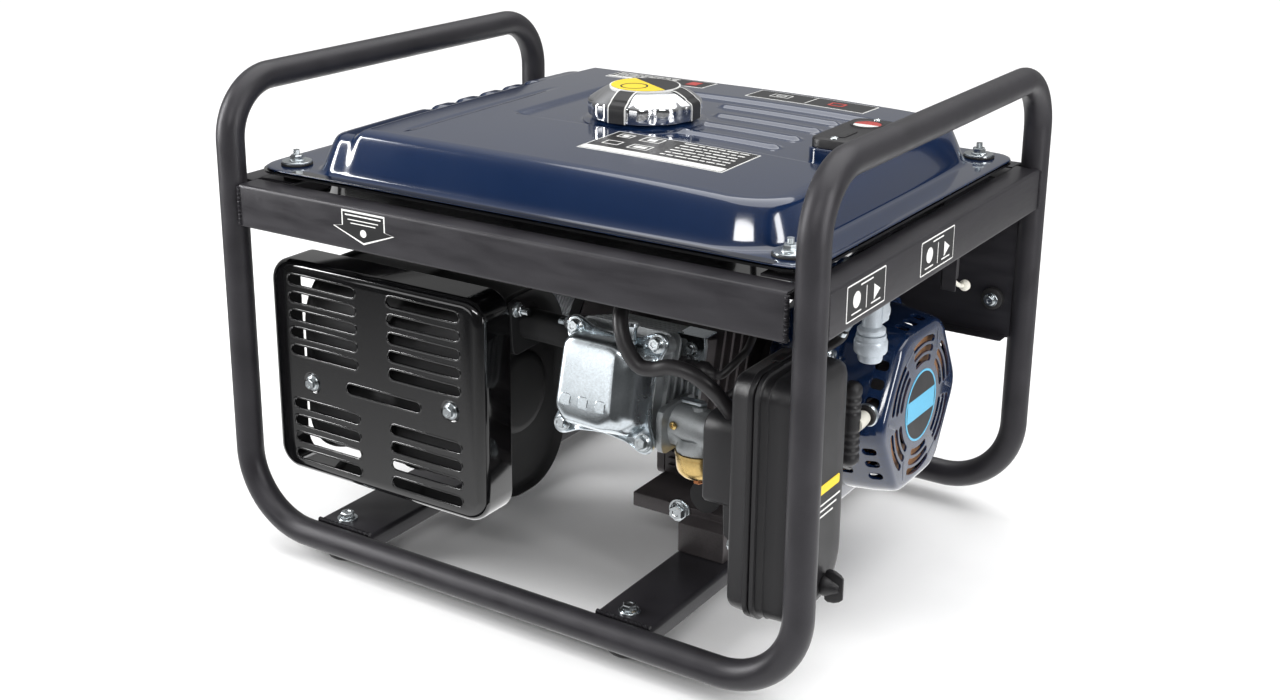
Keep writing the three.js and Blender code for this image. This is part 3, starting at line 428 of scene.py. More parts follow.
def turned(mesh, axis, degrees, about=(0, 0, 0)):
    v, f = mesh
    turn = np.array(Matrix.Rotation(math.radians(degrees), 3, axis))
    return (np.asarray(v, float) - about) @ turn.T + about, f


def shifted(mesh, by):
    return np.asarray(mesh[0], float) + np.array(by, float), mesh[1]


def mesh_data(name, mesh):
    verts, faces = mesh
    data = bpy.data.meshes.new(name)
    data.from_pydata((np.asarray(verts, float) * MM).tolist(), [], faces)
    work = bmesh.new()
    work.from_mesh(data)
    bmesh.ops.remove_doubles(work, verts=work.verts, dist=1e-6)
    bmesh.ops.recalc_face_normals(work, faces=work.faces)
    work.to_mesh(data)
    work.free()
    return data


def pierce(made, cutters):
    """Cuts closed meshes out of a piece for good."""
    tool = bpy.data.objects.new("cutter", mesh_data("cutter", merged(*cutters)))
    bpy.context.collection.objects.link(tool)
    cut = made.modifiers.new("cut", "BOOLEAN")
    cut.object = tool
    cut.solver = "EXACT"
    cut.use_self = True
    shape = made.evaluated_get(bpy.context.evaluated_depsgraph_get())
    fresh = bpy.data.meshes.new_from_object(shape)
    made.modifiers.remove(cut)
    made.data = fresh
    bpy.data.objects.remove(tool)


def piece(name, mesh, material, body="frame", bevel=0.0, segments=3, subdivide=0, stands_for=(),
          thickness=0.0,
          angle=32, slot=None, cutters=()):
    """Adds a mesh given in millimetres, closed and facing out, and lets it ride on a CAD body."""
    made = bpy.data.objects.new(name, mesh_data(name, mesh))
    bpy.context.collection.objects.link(made)
    if cutters:
        pierce(made, cutters)
    data = made.data
    data.materials.clear()
    data.materials.append(MATERIALS[material])
    data.shade_smooth()
    if thickness:
        solid = made.modifiers.new("sheet", "SOLIDIFY")
        solid.thickness = thickness * MM
        solid.offset = -1
    if bevel:
        edge = made.modifiers.new("edges", "BEVEL")
        edge.width = bevel * MM
        edge.segments = segments
        edge.limit_method = "ANGLE"
        edge.angle_limit = math.radians(angle)
        edge.harden_normals = True
    elif not subdivide:
        data.set_sharp_from_angle(angle=math.radians(angle))
    if subdivide:
        finer = made.modifiers.new("finer", "SUBSURF")
        finer.levels = finer.render_levels = subdivide
    if body:
        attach(made, body)
    if stands_for:
        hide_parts(*stands_for)
    return made


def ramp(v, width):
    """0 to 1 as v goes from 0 to width, with soft ends."""
    t = np.clip(np.asarray(v, float) / width, 0, 1)
    return t * t * (3 - 2 * t)


def inside_rounded(x, y, xs, ys, r):
    """How far a point lies inside a rounded rectangle; negative outside."""
    qx = np.abs(x - (xs[0] + xs[1]) / 2) - ((xs[1] - xs[0]) / 2 - r)
    qy = np.abs(y - (ys[0] + ys[1]) / 2) - ((ys[1] - ys[0]) / 2 - r)
    outside = np.hypot(np.maximum(qx, 0), np.maximum(qy, 0)) + np.minimum(np.maximum(qx, qy), 0)
    return r - outside


# ---------- frame ----------
TUBE_R = 12.7
LOWER_BEND = 70
UPPER_BEND = 80
CHANNEL_REACH = 219.0
TAB_Y = 188  # middle of the tabs that carry the tank's corners


def make_frame():
    for side, name in ((-1, "frame_front_loop"), (1, "frame_rear_loop")):
        lo, hi = span(name)
        y = (lo[1] + hi[1]) / 2
        x0, x1 = lo[0] + TUBE_R, hi[0] - TUBE_R
        z = lo[2] + TUBE_R
        path = smooth_path([(x0, y, hi[2]), (x0, y, z), (x1, y, z), (x1, y, hi[2])], LOWER_BEND, 20)
        piece(f"tube_{'front' if side < 0 else 'rear'}_loop", sweep(path, TUBE_R, 40), "frame",
              stands_for=[name], angle=50)
    for side in ("left", "right"):
        lo, hi = span(f"handle_{side}")
        x = (lo[0] + hi[0]) / 2
        y0, y1 = lo[1] + TUBE_R, hi[1] - TUBE_R
        z = hi[2] - TUBE_R
        foot = lo[2] - 0.3
        path = smooth_path([(x, y0, foot), (x, y0, z), (x, y1, z), (x, y1, foot)], UPPER_BEND, 20)
        piece(f"tube_handle_{side}", sweep(path, TUBE_R, 40), "frame", stands_for=[f"handle_{side}"],
              angle=50)


def weld(path, name, material="frame"):
    """A bead of weld along a path, rippled like a row of coins."""
    path = spline_path(path, 14)
    ripple = 1.9 + 0.5 * np.sin(np.arange(len(path)) * 1.9)
    return piece(name, sweep(path, ripple, 10), material)


def folded(path, thickness):
    """The closed section of a sheet folded along a path."""
    outside = np.array(path, float)
    step = np.gradient(outside, axis=0)
    step /= np.linalg.norm(step, axis=1)[:, None]
    within = outside + thickness * np.stack([step[:, 1], -step[:, 0]], 1)
    return np.vstack([outside, within[::-1]])


def make_rails():
    """Folded rails: an outer web, a flange over the top and a short lip below, with rounded folds."""
    fold = 3.0
    sheet_t = 2.0
    for name in ("upper_rail_front", "upper_rail_rear", "upper_rail_left", "upper_rail_right"):
        lo, hi = span(name)
        along_x = name.endswith(("front", "rear"))
        outer = {"front": lo[1], "rear": hi[1], "left": lo[0], "right": hi[0]}[name.split("_")[-1]]
        inward = -1 if outer > 0 else 1
        z0, z1 = span("upper_rail_front")[0][2], hi[2]
        flange, lip = 24.0, 8.0
        path = [(lip, z0), (fold, z0), *arc(fold, z0 + fold, fold, 270, 180, 5)[1:],
                *arc(fold, z1 - fold, fold, 180, 90, 5), (flange, z1)]
        profile = folded(path, sheet_t)
        across = outer + inward * profile[:, 0]
        section = np.stack([across, profile[:, 1]], 1)
        reach = hi[0] - 6.5 if along_x else 220.0
        parts = [prism(section, "x" if along_x else "y", -reach, reach)]
        if not along_x:
            for end in (-1, 1):
                tab = (outer + inward * (flange - 2), outer + inward * (flange + 39))
                along = end * TAB_Y
                parts.append(block(sorted(tab), (along - 20, along + 20), (z1 - 2, z1)))
        piece(name.replace("upper_rail", "rail_sheet"), merged(*parts), "sheet", bevel=0.5,
              stands_for=[name], segments=2)
        for end in (-1, 1):
            z = np.linspace(z0 + 2, z1 - 2, 8)
            side = outer + inward * 0.6
            if along_x:
                points = [(end * (reach + 0.2), side, h) for h in z]
            else:
                points = [(side, end * (reach + 0.2), h) for h in z]
            weld(points, f"weld_{name}_{'near' if end < 0 else 'far'}")
    lever_bracket()


def lever_bracket():
    lo, _ = span("choke_lever")
    x = lo[0] - 2.1
    y0, y1 = 68.0, 106.0
    z0, z1 = 273.0, span("upper_rail_front")[0][2]
    plate = prism(rounded((y0, y1), (z0, z1 + 1.5), 3), "x", x, x + 1.8)
    wing = block((x, x + 14), (y0, y0 + 1.8), (z0, z1 + 1.5))
    foot = block((x, x + 24), (y0, y1), (z1 - 0.2, z1 + 1.8))
    piece("lever_bracket", merged(plate, wing, foot), "sheet", bevel=0.5, segments=2)


def make_base():
    for side in ("left", "right"):
        lo, hi = span(f"base_channel_{side}")
        fold, sheet_t = 4.0, 2.5
        half = (hi[0] - lo[0]) / 2
        path = [(-half, lo[2]), *arc(-half + fold, hi[2] - fold, fold, 180, 90, 5),
                *arc(half - fold, hi[2] - fold, fold, 90, 0, 5), (half, lo[2])]
        section = folded(path, sheet_t) + [(lo[0] + hi[0]) / 2, 0]
        reach = CHANNEL_REACH
        piece(f"channel_sheet_{side}", prism(section, "y", -reach, reach), "sheet", bevel=0.4, segments=2,
              stands_for=[f"base_channel_{side}"])
        for end in (-1, 1):
            y = end * (CHANNEL_REACH - 0.6)
            weld([(x, y, hi[2] + 0.2) for x in np.linspace(lo[0] + 2, hi[0] - 2, 10)],
                 f"weld_channel_{side}_{'near' if end < 0 else 'far'}")
    for foot in ("front_left", "front_right", "rear_left", "rear_right"):
        lo, hi = span(f"foot_{foot}")
        centre = (lo + hi) / 2
        profile = [(0, 0.6), (6, 0.6), (7, 0), (17, 0), *arc(17, 2.6, 2.6, 270, 360, 5), (19.7, 4),
                   (18.8, 9), *arc(16.3, 8.8, 2.4, 0, 90, 5), (11, 11.4), (10.8, hi[2]), (0, hi[2])]
        piece(f"rubber_foot_{foot}", revolve(profile, "z", (centre[0], centre[1], 0)), "rubber",
              stands_for=[f"foot_{foot}"], angle=40)
        top = span("base_channel_left")[1][2]
        piece(f"foot_bolt_{foot}", hex_bolt((centre[0], centre[1], top), "z", 6.5, 9.5), "bolt", angle=25)


def hex_bolt(at, axis, across=6.5, washer=9.0, tall=5.5, sign=1, stud=0.0, washer_t=1.6):
    """A flanged hexagon head on its washer, standing from a face; stud adds a threaded end above a nut."""
    top = washer_t + tall
    rows = [(0, 0), (washer, 0), (washer, washer_t - 0.3), (washer - 0.3, washer_t), (0, washer_t)]
    base = revolve(rows, "z", sides=32)
    flange = revolve([(0, washer_t), (across * 1.22, washer_t), (across * 1.2, washer_t + 0.8),
                      (across * 0.95, washer_t + 1.6), (0, washer_t + 1.6)], "z", sides=32)
    hexagon = circle(across, 6)
    levels = ((hexagon, washer_t + 1.2), (hexagon, top - 0.8), (hexagon * 0.88, top),
              (circle(across * 0.5, 6), top), (circle(across * 0.4, 6), top - 0.5))
    head = loft([on_plane(outline, "z", level) for outline, level in levels])
    parts = [base, flange, head]
    if stud:
        thread = []
        for k in range(int(stud / 0.5)):
            r = 3.0 if k % 2 else 2.6
            thread.append((r, washer_t + tall + k * 0.5))
        thread = [(0, washer_t + tall - 1), *thread, (0, thread[-1][1])]
        parts.append(revolve(thread, "z", sides=20))
    v, f = merged(*parts)
    v = v * [1, 1, sign]
    order = {"z": [0, 1, 2], "x": [2, 0, 1], "y": [1, 2, 0]}[axis]
    if sign < 0:
        f = [tuple(reversed(face)) for face in f]
    return v[:, order] + np.array(at, float), f


# ---------- fuel tank ----------
TANK_EDGE = 27.0  # plan distance from the foot of the tank's wall to its flat top
TANK_CORNERS = {"right": 60.0, "left": 34.0}
TANK_BASE = ((-228.0, 252.0), (-205.0, 205.0))
TANK_FLAT_TOP = 408.0
RIB_ROWS = ((94, 26), (57, 42), (18, 44), (-20, 34))


def tank_top(x, y):
    """Height of the pressed top: crowned, a lower shelf on the left, a pan round the filler and its ribs."""
    x, y = np.asarray(x, float), np.asarray(y, float)
    z = TANK_FLAT_TOP - 6.0 * (np.clip(x, 0, None) / 230) ** 2 - 2.0 * (y / 190) ** 2
    z = z - 6.5 * (1 - ramp(x + 185, 12))
    groove = np.exp(-(((x + 141) / 1.8) ** 2)) * ramp(y + 172, 30) * ramp(70 - y, 45)
    z = z - 1.6 * groove
    pan = ramp(inside_rounded(x, y, (-106, 216), (-57, 124), 10), 8)
    z = z - 4.0 * pan
    for row, start in RIB_ROWS:
        bead = inside_rounded(x, y, (start, 152), (row - 8, row + 8), 7.9)
        z = z + 3.2 * ramp(bead, 4.5)
    for k in range(5):
        y0 = -64 + k * 37 + 0.35 * (x + 200)
        pocket = inside_rounded(x, y - y0, (-219, -187), (0, 20), 3)
        z = z - 4.0 * ramp(pocket, 4)
    seat = ramp(58 - np.hypot(x - CAP_X, y - CAP_Y), 6)
    z = z * (1 - seat) + (TANK_FLAT_TOP - 0.5) * seat
    return z


CAP_X, CAP_Y = 4.0, -3.0


def axis_lines(low, bend_low, bend_high, high, pitch, corner=12):
    return np.concatenate([
        np.linspace(low, bend_low, corner, endpoint=False),
        np.linspace(bend_low, bend_high, int((bend_high - bend_low) / pitch) + 1),
        np.linspace(bend_high, high, corner + 1)[1:],
    ])


def make_tank_top():
    """The top is a grid squeezed into a rounded rectangle; the wall and flange are rings round it."""
    lo, hi = span("tank_upper_shell")
    (bx0, bx1), (_, by1) = TANK_BASE
    x0, x1 = bx0 + TANK_EDGE, bx1 - TANK_EDGE
    half_y = by1 - TANK_EDGE
    left_c = (bx0 + TANK_CORNERS["left"], by1 - TANK_CORNERS["left"])
    right_c = (bx1 - TANK_CORNERS["right"], by1 - TANK_CORNERS["right"])
    xs = axis_lines(x0, left_c[0], right_c[0], x1, 2.6, 10)
    side = np.concatenate([np.linspace(0, right_c[1], 57), np.linspace(right_c[1], left_c[1], 10)[1:],
                           np.linspace(left_c[1], half_y, 5)[1:]])
    ys = np.concatenate([-side[::-1], side[1:]])
    gx, gy = np.meshgrid(xs, ys)
    px, py = gx.copy(), gy.copy()
    for (cx, cy), r, away in ((left_c, TANK_CORNERS["left"] - TANK_EDGE, -1),
                              (right_c, TANK_CORNERS["right"] - TANK_EDGE, 1)):
        corner = ((gx - cx) * away > 0) & (np.abs(gy) > cy)
        s = np.abs(gx - cx) / r
        t = (np.abs(gy) - cy) / r
        s, t = np.clip(s, 0, 1), np.clip(t, 0, 1)
        bent_x = cx + away * r * s * np.sqrt(1 - t * t / 2)
        bent_y = np.sign(gy) * (cy + r * t * np.sqrt(1 - s * s / 2))
        px = np.where(corner, bent_x, px)
        py = np.where(corner, bent_y, py)
    ny, nx = gx.shape
    verts = np.stack([px, py, tank_top(px, py)], 2).reshape(-1, 3)
    faces = [(j * nx + i, j * nx + i + 1, (j + 1) * nx + i + 1, (j + 1) * nx + i)
             for j in range(ny - 1) for i in range(nx - 1)]
    rim = [i for i in range(nx)] + [j * nx + nx - 1 for j in range(1, ny)]
    rim += [(ny - 1) * nx + i for i in range(nx - 2, -1, -1)] + [j * nx for j in range(ny - 2, 0, -1)]
    edge = verts[rim]
    out = np.zeros((len(rim), 2))
    for k, (x, y, _) in enumerate(edge):
        cx, cy = (left_c if x < 0 else right_c)
        away = -1 if x < 0 else 1
        dx, dy = (x - cx) * away, abs(y) - cy
        if dx > 1e-6 and dy > 1e-6:
            n = np.array([away * dx, np.sign(y) * dy])
        elif dy >= half_y - cy - 1e-6:
            n = np.array([0, np.sign(y)])
        else:
            n = np.array([away, 0])
        out[k] = n / np.linalg.norm(n)
    top_z = edge[:, 2]
    flange_z = hi[2] * 0 + span("tank_lower_shell")[1][2] + 2.3
    wall = [(25.5, 0.995), (22.5, 0.975), (20, 0.945), (18, 0.90), (16, 0.83), (12.5, 0.62), (8, 0.34),
            (5.5, 0.17), (4, 0.09), (2, 0.03), (0, 0.0)]
    rings = []
    for inset, share in wall:
        xy = edge[:, :2] + out * (TANK_EDGE - inset)
        # the shelf's lower edge meets the wall at its own height
        rings.append(np.column_stack([xy, flange_z + (top_z - flange_z) * share]))
    foot = rings[-1][:, :2]
    reach = np.zeros(len(foot))
    for _ in range(40):
        p = foot + out * reach[:, None]
        reach += np.clip(inside_rounded(p[:, 0], p[:, 1], (lo[0], hi[0]), (lo[1], hi[1]), 26), -5, 50) * 0.6
    brim = foot + out * reach[:, None]
    for share in (0.08, 0.35, 0.7, 0.97, 1.0):
        z = flange_z - (0 if share < 0.98 else 0.7)
        rings.append(np.column_stack([foot + (brim - foot) * share, np.full(len(foot), z)]))
    all_verts = np.vstack([verts, *rings])
    count = len(rim)
    previous = np.array(rim)
    for k in range(len(rings)):
        here = len(verts) + k * count + np.arange(count)
        nxt, pnx = np.roll(here, -1), np.roll(previous, -1)
        faces += [(int(a), int(b), int(c), int(d)) for a, b, c, d in zip(previous, here, nxt, pnx)]
        previous = here
    made = piece("tank_top", (all_verts, faces), "navy", thickness=1.6, stands_for=["tank_upper_shell"],
                 angle=70)
    finer = made.modifiers.new("finer", "SUBSURF")
    finer.levels = finer.render_levels = 1


def make_pan_rim():
    """The folded edge of the black lower shell laps over the flange along the front."""
    rim = prism(rounded((-232, 250), (-215.6, -206), 3), "z", 365.6, 366.5)
    piece("pan_rim", rim, "gloss_black", bevel=0.3, segments=2)


def slab(xs, ys, top, bottom):
    """A closed sheet over a grid, between two height functions."""
    gx, gy = np.meshgrid(xs, ys)
    high = np.stack([gx, gy, top(gx, gy)], 2).reshape(-1, 3)
    low = np.stack([gx, gy, bottom(gx, gy)], 2).reshape(-1, 3)
    ny, nx = gx.shape
    count = nx * ny
    quads = [(j * nx + i, j * nx + i + 1, (j + 1) * nx + i + 1, (j + 1) * nx + i)
             for j in range(ny - 1) for i in range(nx - 1)]
    rim = list(range(nx)) + [j * nx + nx - 1 for j in range(1, ny)]
    rim += [(ny - 1) * nx + i for i in range(nx - 2, -1, -1)] + [j * nx for j in range(ny - 2, 0, -1)]
    faces = quads + [tuple(count + v for v in reversed(q)) for q in quads]
    faces += [(a, count + a, count + b, b) for a, b in zip(rim, rim[1:] + rim[:1])]
    return np.vstack([high, low]), faces


def on_tank(x, y, lift):
    xs = np.linspace(*x, max(2, int((x[1] - x[0]) / 4) + 2))
    ys = np.linspace(*y, max(2, int((y[1] - y[0]) / 4) + 2))
    return slab(xs, ys, lambda a, b: tank_top(a, b) + lift, lambda a, b: tank_top(a, b) - 0.6)


def text_bars(x, y, rows, height, seed):
    """Rows of short dashes that stand for lines of print: one (x range, y range) for each dash."""
    rng = np.random.default_rng(seed)
    dashes = []
    for level in np.linspace(y[0], y[1], rows):
        at = x[0]
        while at < x[1] - 3:
            run = min(rng.uniform(4, 13), x[1] - at)
            dashes.append(((at, at + run), (level - height / 2, level + height / 2)))
            at += run + 1.6
    return dashes


def tank_label(name, x, y, white=(), red=()):
    """A printed plate on the tank: white edge, black field, and white marks."""
    piece(name + "_edge", on_tank(x, y, 0.25), "white")
    field = ((x[0] + 1.2, x[1] - 1.2), (y[0] + 1.2, y[1] - 1.2))
    piece(name + "_field", on_tank(*field, 0.37), "ink")
    if white:
        piece(name + "_print", merged(*[on_tank(a, b, 0.5) for a, b in white]), "white")
    if red:
        piece(name + "_mark", merged(*[on_tank(a, b, 0.55) for a, b in red]), "red")


def frame_marks(x, y, w=1.0):
    """The four sides of a drawn box."""
    return [((x[0], x[1]), (y[0], y[0] + w)), ((x[0], x[1]), (y[1] - w, y[1])), ((x[0], x[0] + w), y),
            ((x[1] - w, x[1]), y)]


def make_tank_labels():
    marks = [((20, 156), (-130.5, -120)), *text_bars((88, 150), (-112, -72), 6, 2.2, 3)]
    marks += frame_marks((26, 40), (-84, -73)) + frame_marks((50, 70), (-86, -72))
    marks += frame_marks((28, 44), (-110, -98)) + frame_marks((54, 74), (-112, -98))
    marks += [((30, 36), (-81, -76)), ((56, 64), (-82, -76)), ((58, 70), (-108, -102))]
    tank_label("label_front", (18, 158), (-132, -66), marks)
    far = frame_marks((50, 70), (148, 162)) + frame_marks((55, 65), (152, 158)) + [((92, 93), (140, 170))]
    tank_label("label_rear_right", (30, 155), (136, 172), far, frame_marks((112, 128), (147, 161), 2.5))
    lines = text_bars((-132, -62), (150, 168), 4, 2, 5)
    tank_label("label_rear_left", (-136, -22), (143, 174), [((-134, -58), (145, 148.5)), *lines],
               [((-46, -34), (151, 166))])


def make_cap():
    lo, _ = span("fuel_cap")
    turn = np.linspace(0, 2 * math.pi, 192, endpoint=False)
    dent = (0.5 - 0.5 * np.cos(12 * turn)) ** 1.5
    rows = [(0.01, 424.6, 0), (45.6, 424.6, 0), (45.6, lo[2] + 0.4, 0), (46.2, lo[2], 0),
            (49.4, lo[2], 0.3),
            (50.8, lo[2] + 0.8, 0.8), (51.6, lo[2] + 2.5, 1), (51.9, lo[2] + 6, 1), (51.9, 422.5, 1),
            (51.5, 424.5, 1), (50.2, 426, 1), (47.6, 427.8, 0.8), (44, 430.2, 0.4), (39, 433.4, 0.1),
            (34, 435.6, 0), (20, 436.5, 0), (0.01, 436.9, 0)]
    rings = []
    for r, z, share in rows:
        reach = r - 3.0 * share * dent
        rings.append(np.stack([CAP_X + reach * np.cos(turn), CAP_Y + reach * np.sin(turn),
                               np.full(len(turn), z)], 1))
    piece("cap_shell", loft(rings), "chrome", body="cap", stands_for=["fuel_cap"], subdivide=1)
    strap_path = [(30, 436.2), (34, 435.8), (39, 433.8), (44, 430.8), (48, 428), (51, 425.8), (52.0, 422.5),
                  (52.0, 416), (52.0, 411)]
    for name, angle in (("front", -87), ("right", 5)):
        cap_strap("cap_strap_" + name, angle, strap_path, 9.0, "white", 0.25)
        cap_strap("cap_strap_inner_" + name, angle, strap_path, 7.6, "ink", 0.42)
    disc(name="cap_disc_rim", radius=32, top=437.2, material="white")
    disc(name="cap_disc_black", radius=30.6, top=437.45, material="ink")
    disc(name="cap_disc_yellow", radius=30.6, top=437.6, material="yellow", cut=6)
    ring = revolve([(11, 437.4), (12.6, 437.4), (12.6, 437.75), (11, 437.75), (11, 437.4)], "z",
                   (CAP_X - 4, CAP_Y - 12, 0), 48)
    piece("cap_disc_mark", ring, "ink", body="cap")


def disc(name, radius, top, material, cut=None):
    """A round print on the cap; cut leaves only the part in front of a chord."""
    outline = circle(radius, 96, 0, 0)
    if cut is not None:
        toward = math.radians(-122)
        along = outline @ np.array([math.cos(toward), math.sin(toward)])
        outline = outline[along > -cut]
    outline = outline + [CAP_X, CAP_Y]
    piece(name, prism(outline, "z", top - 1.6, top), material, body="cap")


def cap_strap(name, angle, path, half, material, lift):
    """A band of tape from the middle of the cap down over its side."""
    radial = np.array([math.cos(math.radians(angle)), math.sin(math.radians(angle))])
    across = np.array([-radial[1], radial[0]])
    path = spline_path([(r, z, 0) for r, z in path], 4)[:, :2]
    step = np.gradient(path, axis=0)
    step /= np.linalg.norm(step, axis=1)[:, None]
    normal = np.stack([-step[:, 1], step[:, 0]], 1)
    rings = []
    for (r, z), (nr, nz) in zip(path, normal):
        corners = []
        for side, out in ((-half, -0.3), (half, -0.3), (half, lift), (-half, lift)):
            rr = math.sqrt(max(0, (r + out * nr) ** 2 - side**2)) if r > 46 else r + out * nr
            xy = np.array([CAP_X, CAP_Y]) + radial * rr + across * side
            corners.append((*xy, z + out * nz))
        rings.append(np.array(corners))
    piece(name, loft(rings), material, body="cap", slot="plastic", angle=50)


def make_tank_fittings():
    _, hi = span("tank_upper_shell")
    flange = span("tank_lower_shell")[1][2] + 2.3
    neck = [(38, 396), (38, 419), (39, hi[2]), (42.5, hi[2]), (44, 418.5), (44, 413), (45.5, 409.5),
            (49, 407.6), (56, 407), (56, 396), (38, 396)]
    piece("filler_neck", revolve(neck, "z", (CAP_X, CAP_Y, 0), 64), "navy", angle=35)
    boss = prism(rounded((181, 229), (-35, 66), 13), "z", 398, 409.8)
    piece("gauge_boss", boss, "navy", bevel=1.5)
    rail_top = span("upper_rail_left")[1][2]
    for sx in (-1, 1):
        for sy in (-1, 1):
            x, y = sx * 250, sy * 188
            name = f"{'left' if sx < 0 else 'right'}_{'front' if sy < 0 else 'rear'}"
            bush = [(0, rail_top + 0.2), (12.5, rail_top + 0.2), (13, rail_top + 1.5), (11.8, rail_top + 4),
                    (13, 360.2), (12.5, 361), (0, 361)]
            piece("tank_bush_" + name, revolve(bush, "z", (x, y, 0)), "rubber")
            top_bush = [(0, flange), (14, flange), (14.4, flange + 1), (14, flange + 2), (0, flange + 2)]
            piece("tank_pad_" + name, revolve(top_bush, "z", (x, y, 0)), "rubber")
            piece("tank_bolt_" + name, hex_bolt((x, y, flange + 2), "z", 6.2, 13.5, 5.5, stud=5), "bolt",
                  angle=28)


def make_tank_bottom():
    lo, hi = span("tank_lower_shell")
    (x0, x1), (y0, y1) = (-224, 236), (-203, 203)
    rows = [(1.0, 44, lo[2]), (0.955, 20, lo[2]), (0.975, 12, lo[2] + 1.2), (0.99, 6, lo[2] + 5),
            (0.995, 3, lo[2] + 10),
            (1.0, 0, lo[2] + 18), (1.0, 0, hi[2] - 5), (1.0, -1.5, hi[2] - 2.8), (1.0, -4, hi[2] - 2.1)]
    rings = []
    for _, inset, z in [(0, 60, lo[2])] + rows:
        inset = max(inset, -4)
        r = max(45 - inset, 6)
        rings.append(on_plane(rounded((x0 + inset, x1 - inset), (y0 + inset, y1 - inset), r, 10), "z", z))
    brim = rounded((lo[0], hi[0]), (lo[1], hi[1]), 26, 10)
    rings += [on_plane(brim, "z", hi[2] - 2.1), on_plane(brim, "z", hi[2] - 0.1)]
    inner = rounded((x0 + 2, x1 - 2), (y0 + 2, y1 - 2), 43, 10)
    rings += [on_plane(inner, "z", hi[2] - 0.1), on_plane(inner, "z", lo[2] + 18)]
    for inset, rise in ((9, 7), (22, 2.4)):
        rings.append(on_plane(rounded((x0 + inset, x1 - inset), (y0 + inset, y1 - inset), 45 - inset, 10),
                              "z", lo[2] + rise))
    piece("tank_pan", loft(rings), "gloss_black", stands_for=["tank_lower_shell"], angle=40)


def make_gauge():
    lo, hi = span("fuel_gauge_body")
    x = (lo[0] + hi[0]) / 2
    base, top = 410.0, hi[2]
    dial = middle("fuel_gauge_dial")
    outline = rounded((lo[0], hi[0]), (lo[1], hi[1]), 12, 10)
    small = rounded((lo[0] + 2.5, hi[0] - 2.5), (lo[1] + 2.5, hi[1] - 2.5), 10, 10)
    mid = rounded((lo[0] + 0.7, hi[0] - 0.7), (lo[1] + 0.7, hi[1] - 0.7), 11.4, 10)
    body = loft([on_plane(outline, "z", base), on_plane(outline, "z", base + 5.8),
                 on_plane(mid, "z", base + 7.4), on_plane(small, "z", base + 8.3)])
    piece("gauge_housing", body, "plastic", stands_for=["fuel_gauge_body"], angle=35, bevel=0.3)
    rim = [(11.5, top - 1.4), (14.5, top - 1.4), (15.2, top - 0.9), (14.6, top - 0.1), (13.2, top),
           (12.2, top - 0.7),
           (11.5, top - 1.4)]
    piece("gauge_rim", revolve(rim, "z", (dial[0], dial[1], 0), 48), "plastic", angle=40)
    face = revolve([(0, top - 1.3), (12.2, top - 1.3), (12.2, top - 0.9), (0, top - 0.8)], "z",
                   (dial[0], dial[1], 0), 40)
    piece("gauge_window", face, "white", body="gauge_dial", stands_for=["fuel_gauge_dial"])
    mark = prism(circle(12, 48, 0, 0)[:25] + [dial[0], dial[1]], "z", top - 0.9, top - 0.55)
    piece("gauge_sector", mark, "red", body="gauge_dial")
    slot_outline = rounded((x - 6, x + 6), (lo[1] + 12, lo[1] + 42), 5.5)
    piece("gauge_slot_rim", prism(slot_outline, "z", top - 1.5, top - 0.1), "plastic", bevel=0.5)
    piece("gauge_slot", prism(rounded((x - 4, x + 4), (lo[1] + 14, lo[1] + 40), 3.8), "z", top - 1,
                              top + 0.0), "ink",
          slot="plastic")
    for y in (lo[1] + 6, hi[1] - 6):
        piece(f"gauge_screw_{'near' if y < dial[1] - 30 else 'far'}", screw((x, y, top - 1.2), "z", 3.6),
              "bolt")


def screw(at, axis, r, sign=1):
    """A pan-head screw with a cross recess."""
    dome = [(0, 0), (r, 0), (r, 0.7), (r * 0.9, 1.3), (r * 0.62, 1.8), (r * 0.3, 1.9), (r * 0.22, 1.3),
            (0, 1.25)]
    v, f = revolve(dome, "z", sides=28)
    v = v * [1, 1, sign]
    if sign < 0:
        f = [tuple(reversed(face)) for face in f]
    order = {"z": [0, 1, 2], "x": [2, 0, 1], "y": [1, 2, 0]}[axis]
    return v[:, order] + np.array(at, float), f


# ---------- exhaust side ----------
GUARD_ROWS = (264, 247, 230, 213, 196, 143, 126, 109, 92)
GUARD_SLOTS = [(x, z, 80) for x in (-208, -91) for z in GUARD_ROWS] + [(-139, 171, 86)]
GUARD_SLOT_HEIGHT = 9
GUARD_BOLTS = ((-224, 167), (-62, 176))


def slot_outline(a, b, length, height, degrees=0, steps=10):
    half = (length - height) / 2
    outline = np.vstack([arc(half, 0, height / 2, -90, 90, steps),
                         arc(-half, 0, height / 2, 90, 270, steps)])
    t = math.radians(degrees)
    turn = np.array([[math.cos(t), math.sin(t)], [-math.sin(t), math.cos(t)]])
    return outline @ turn + [a, b]


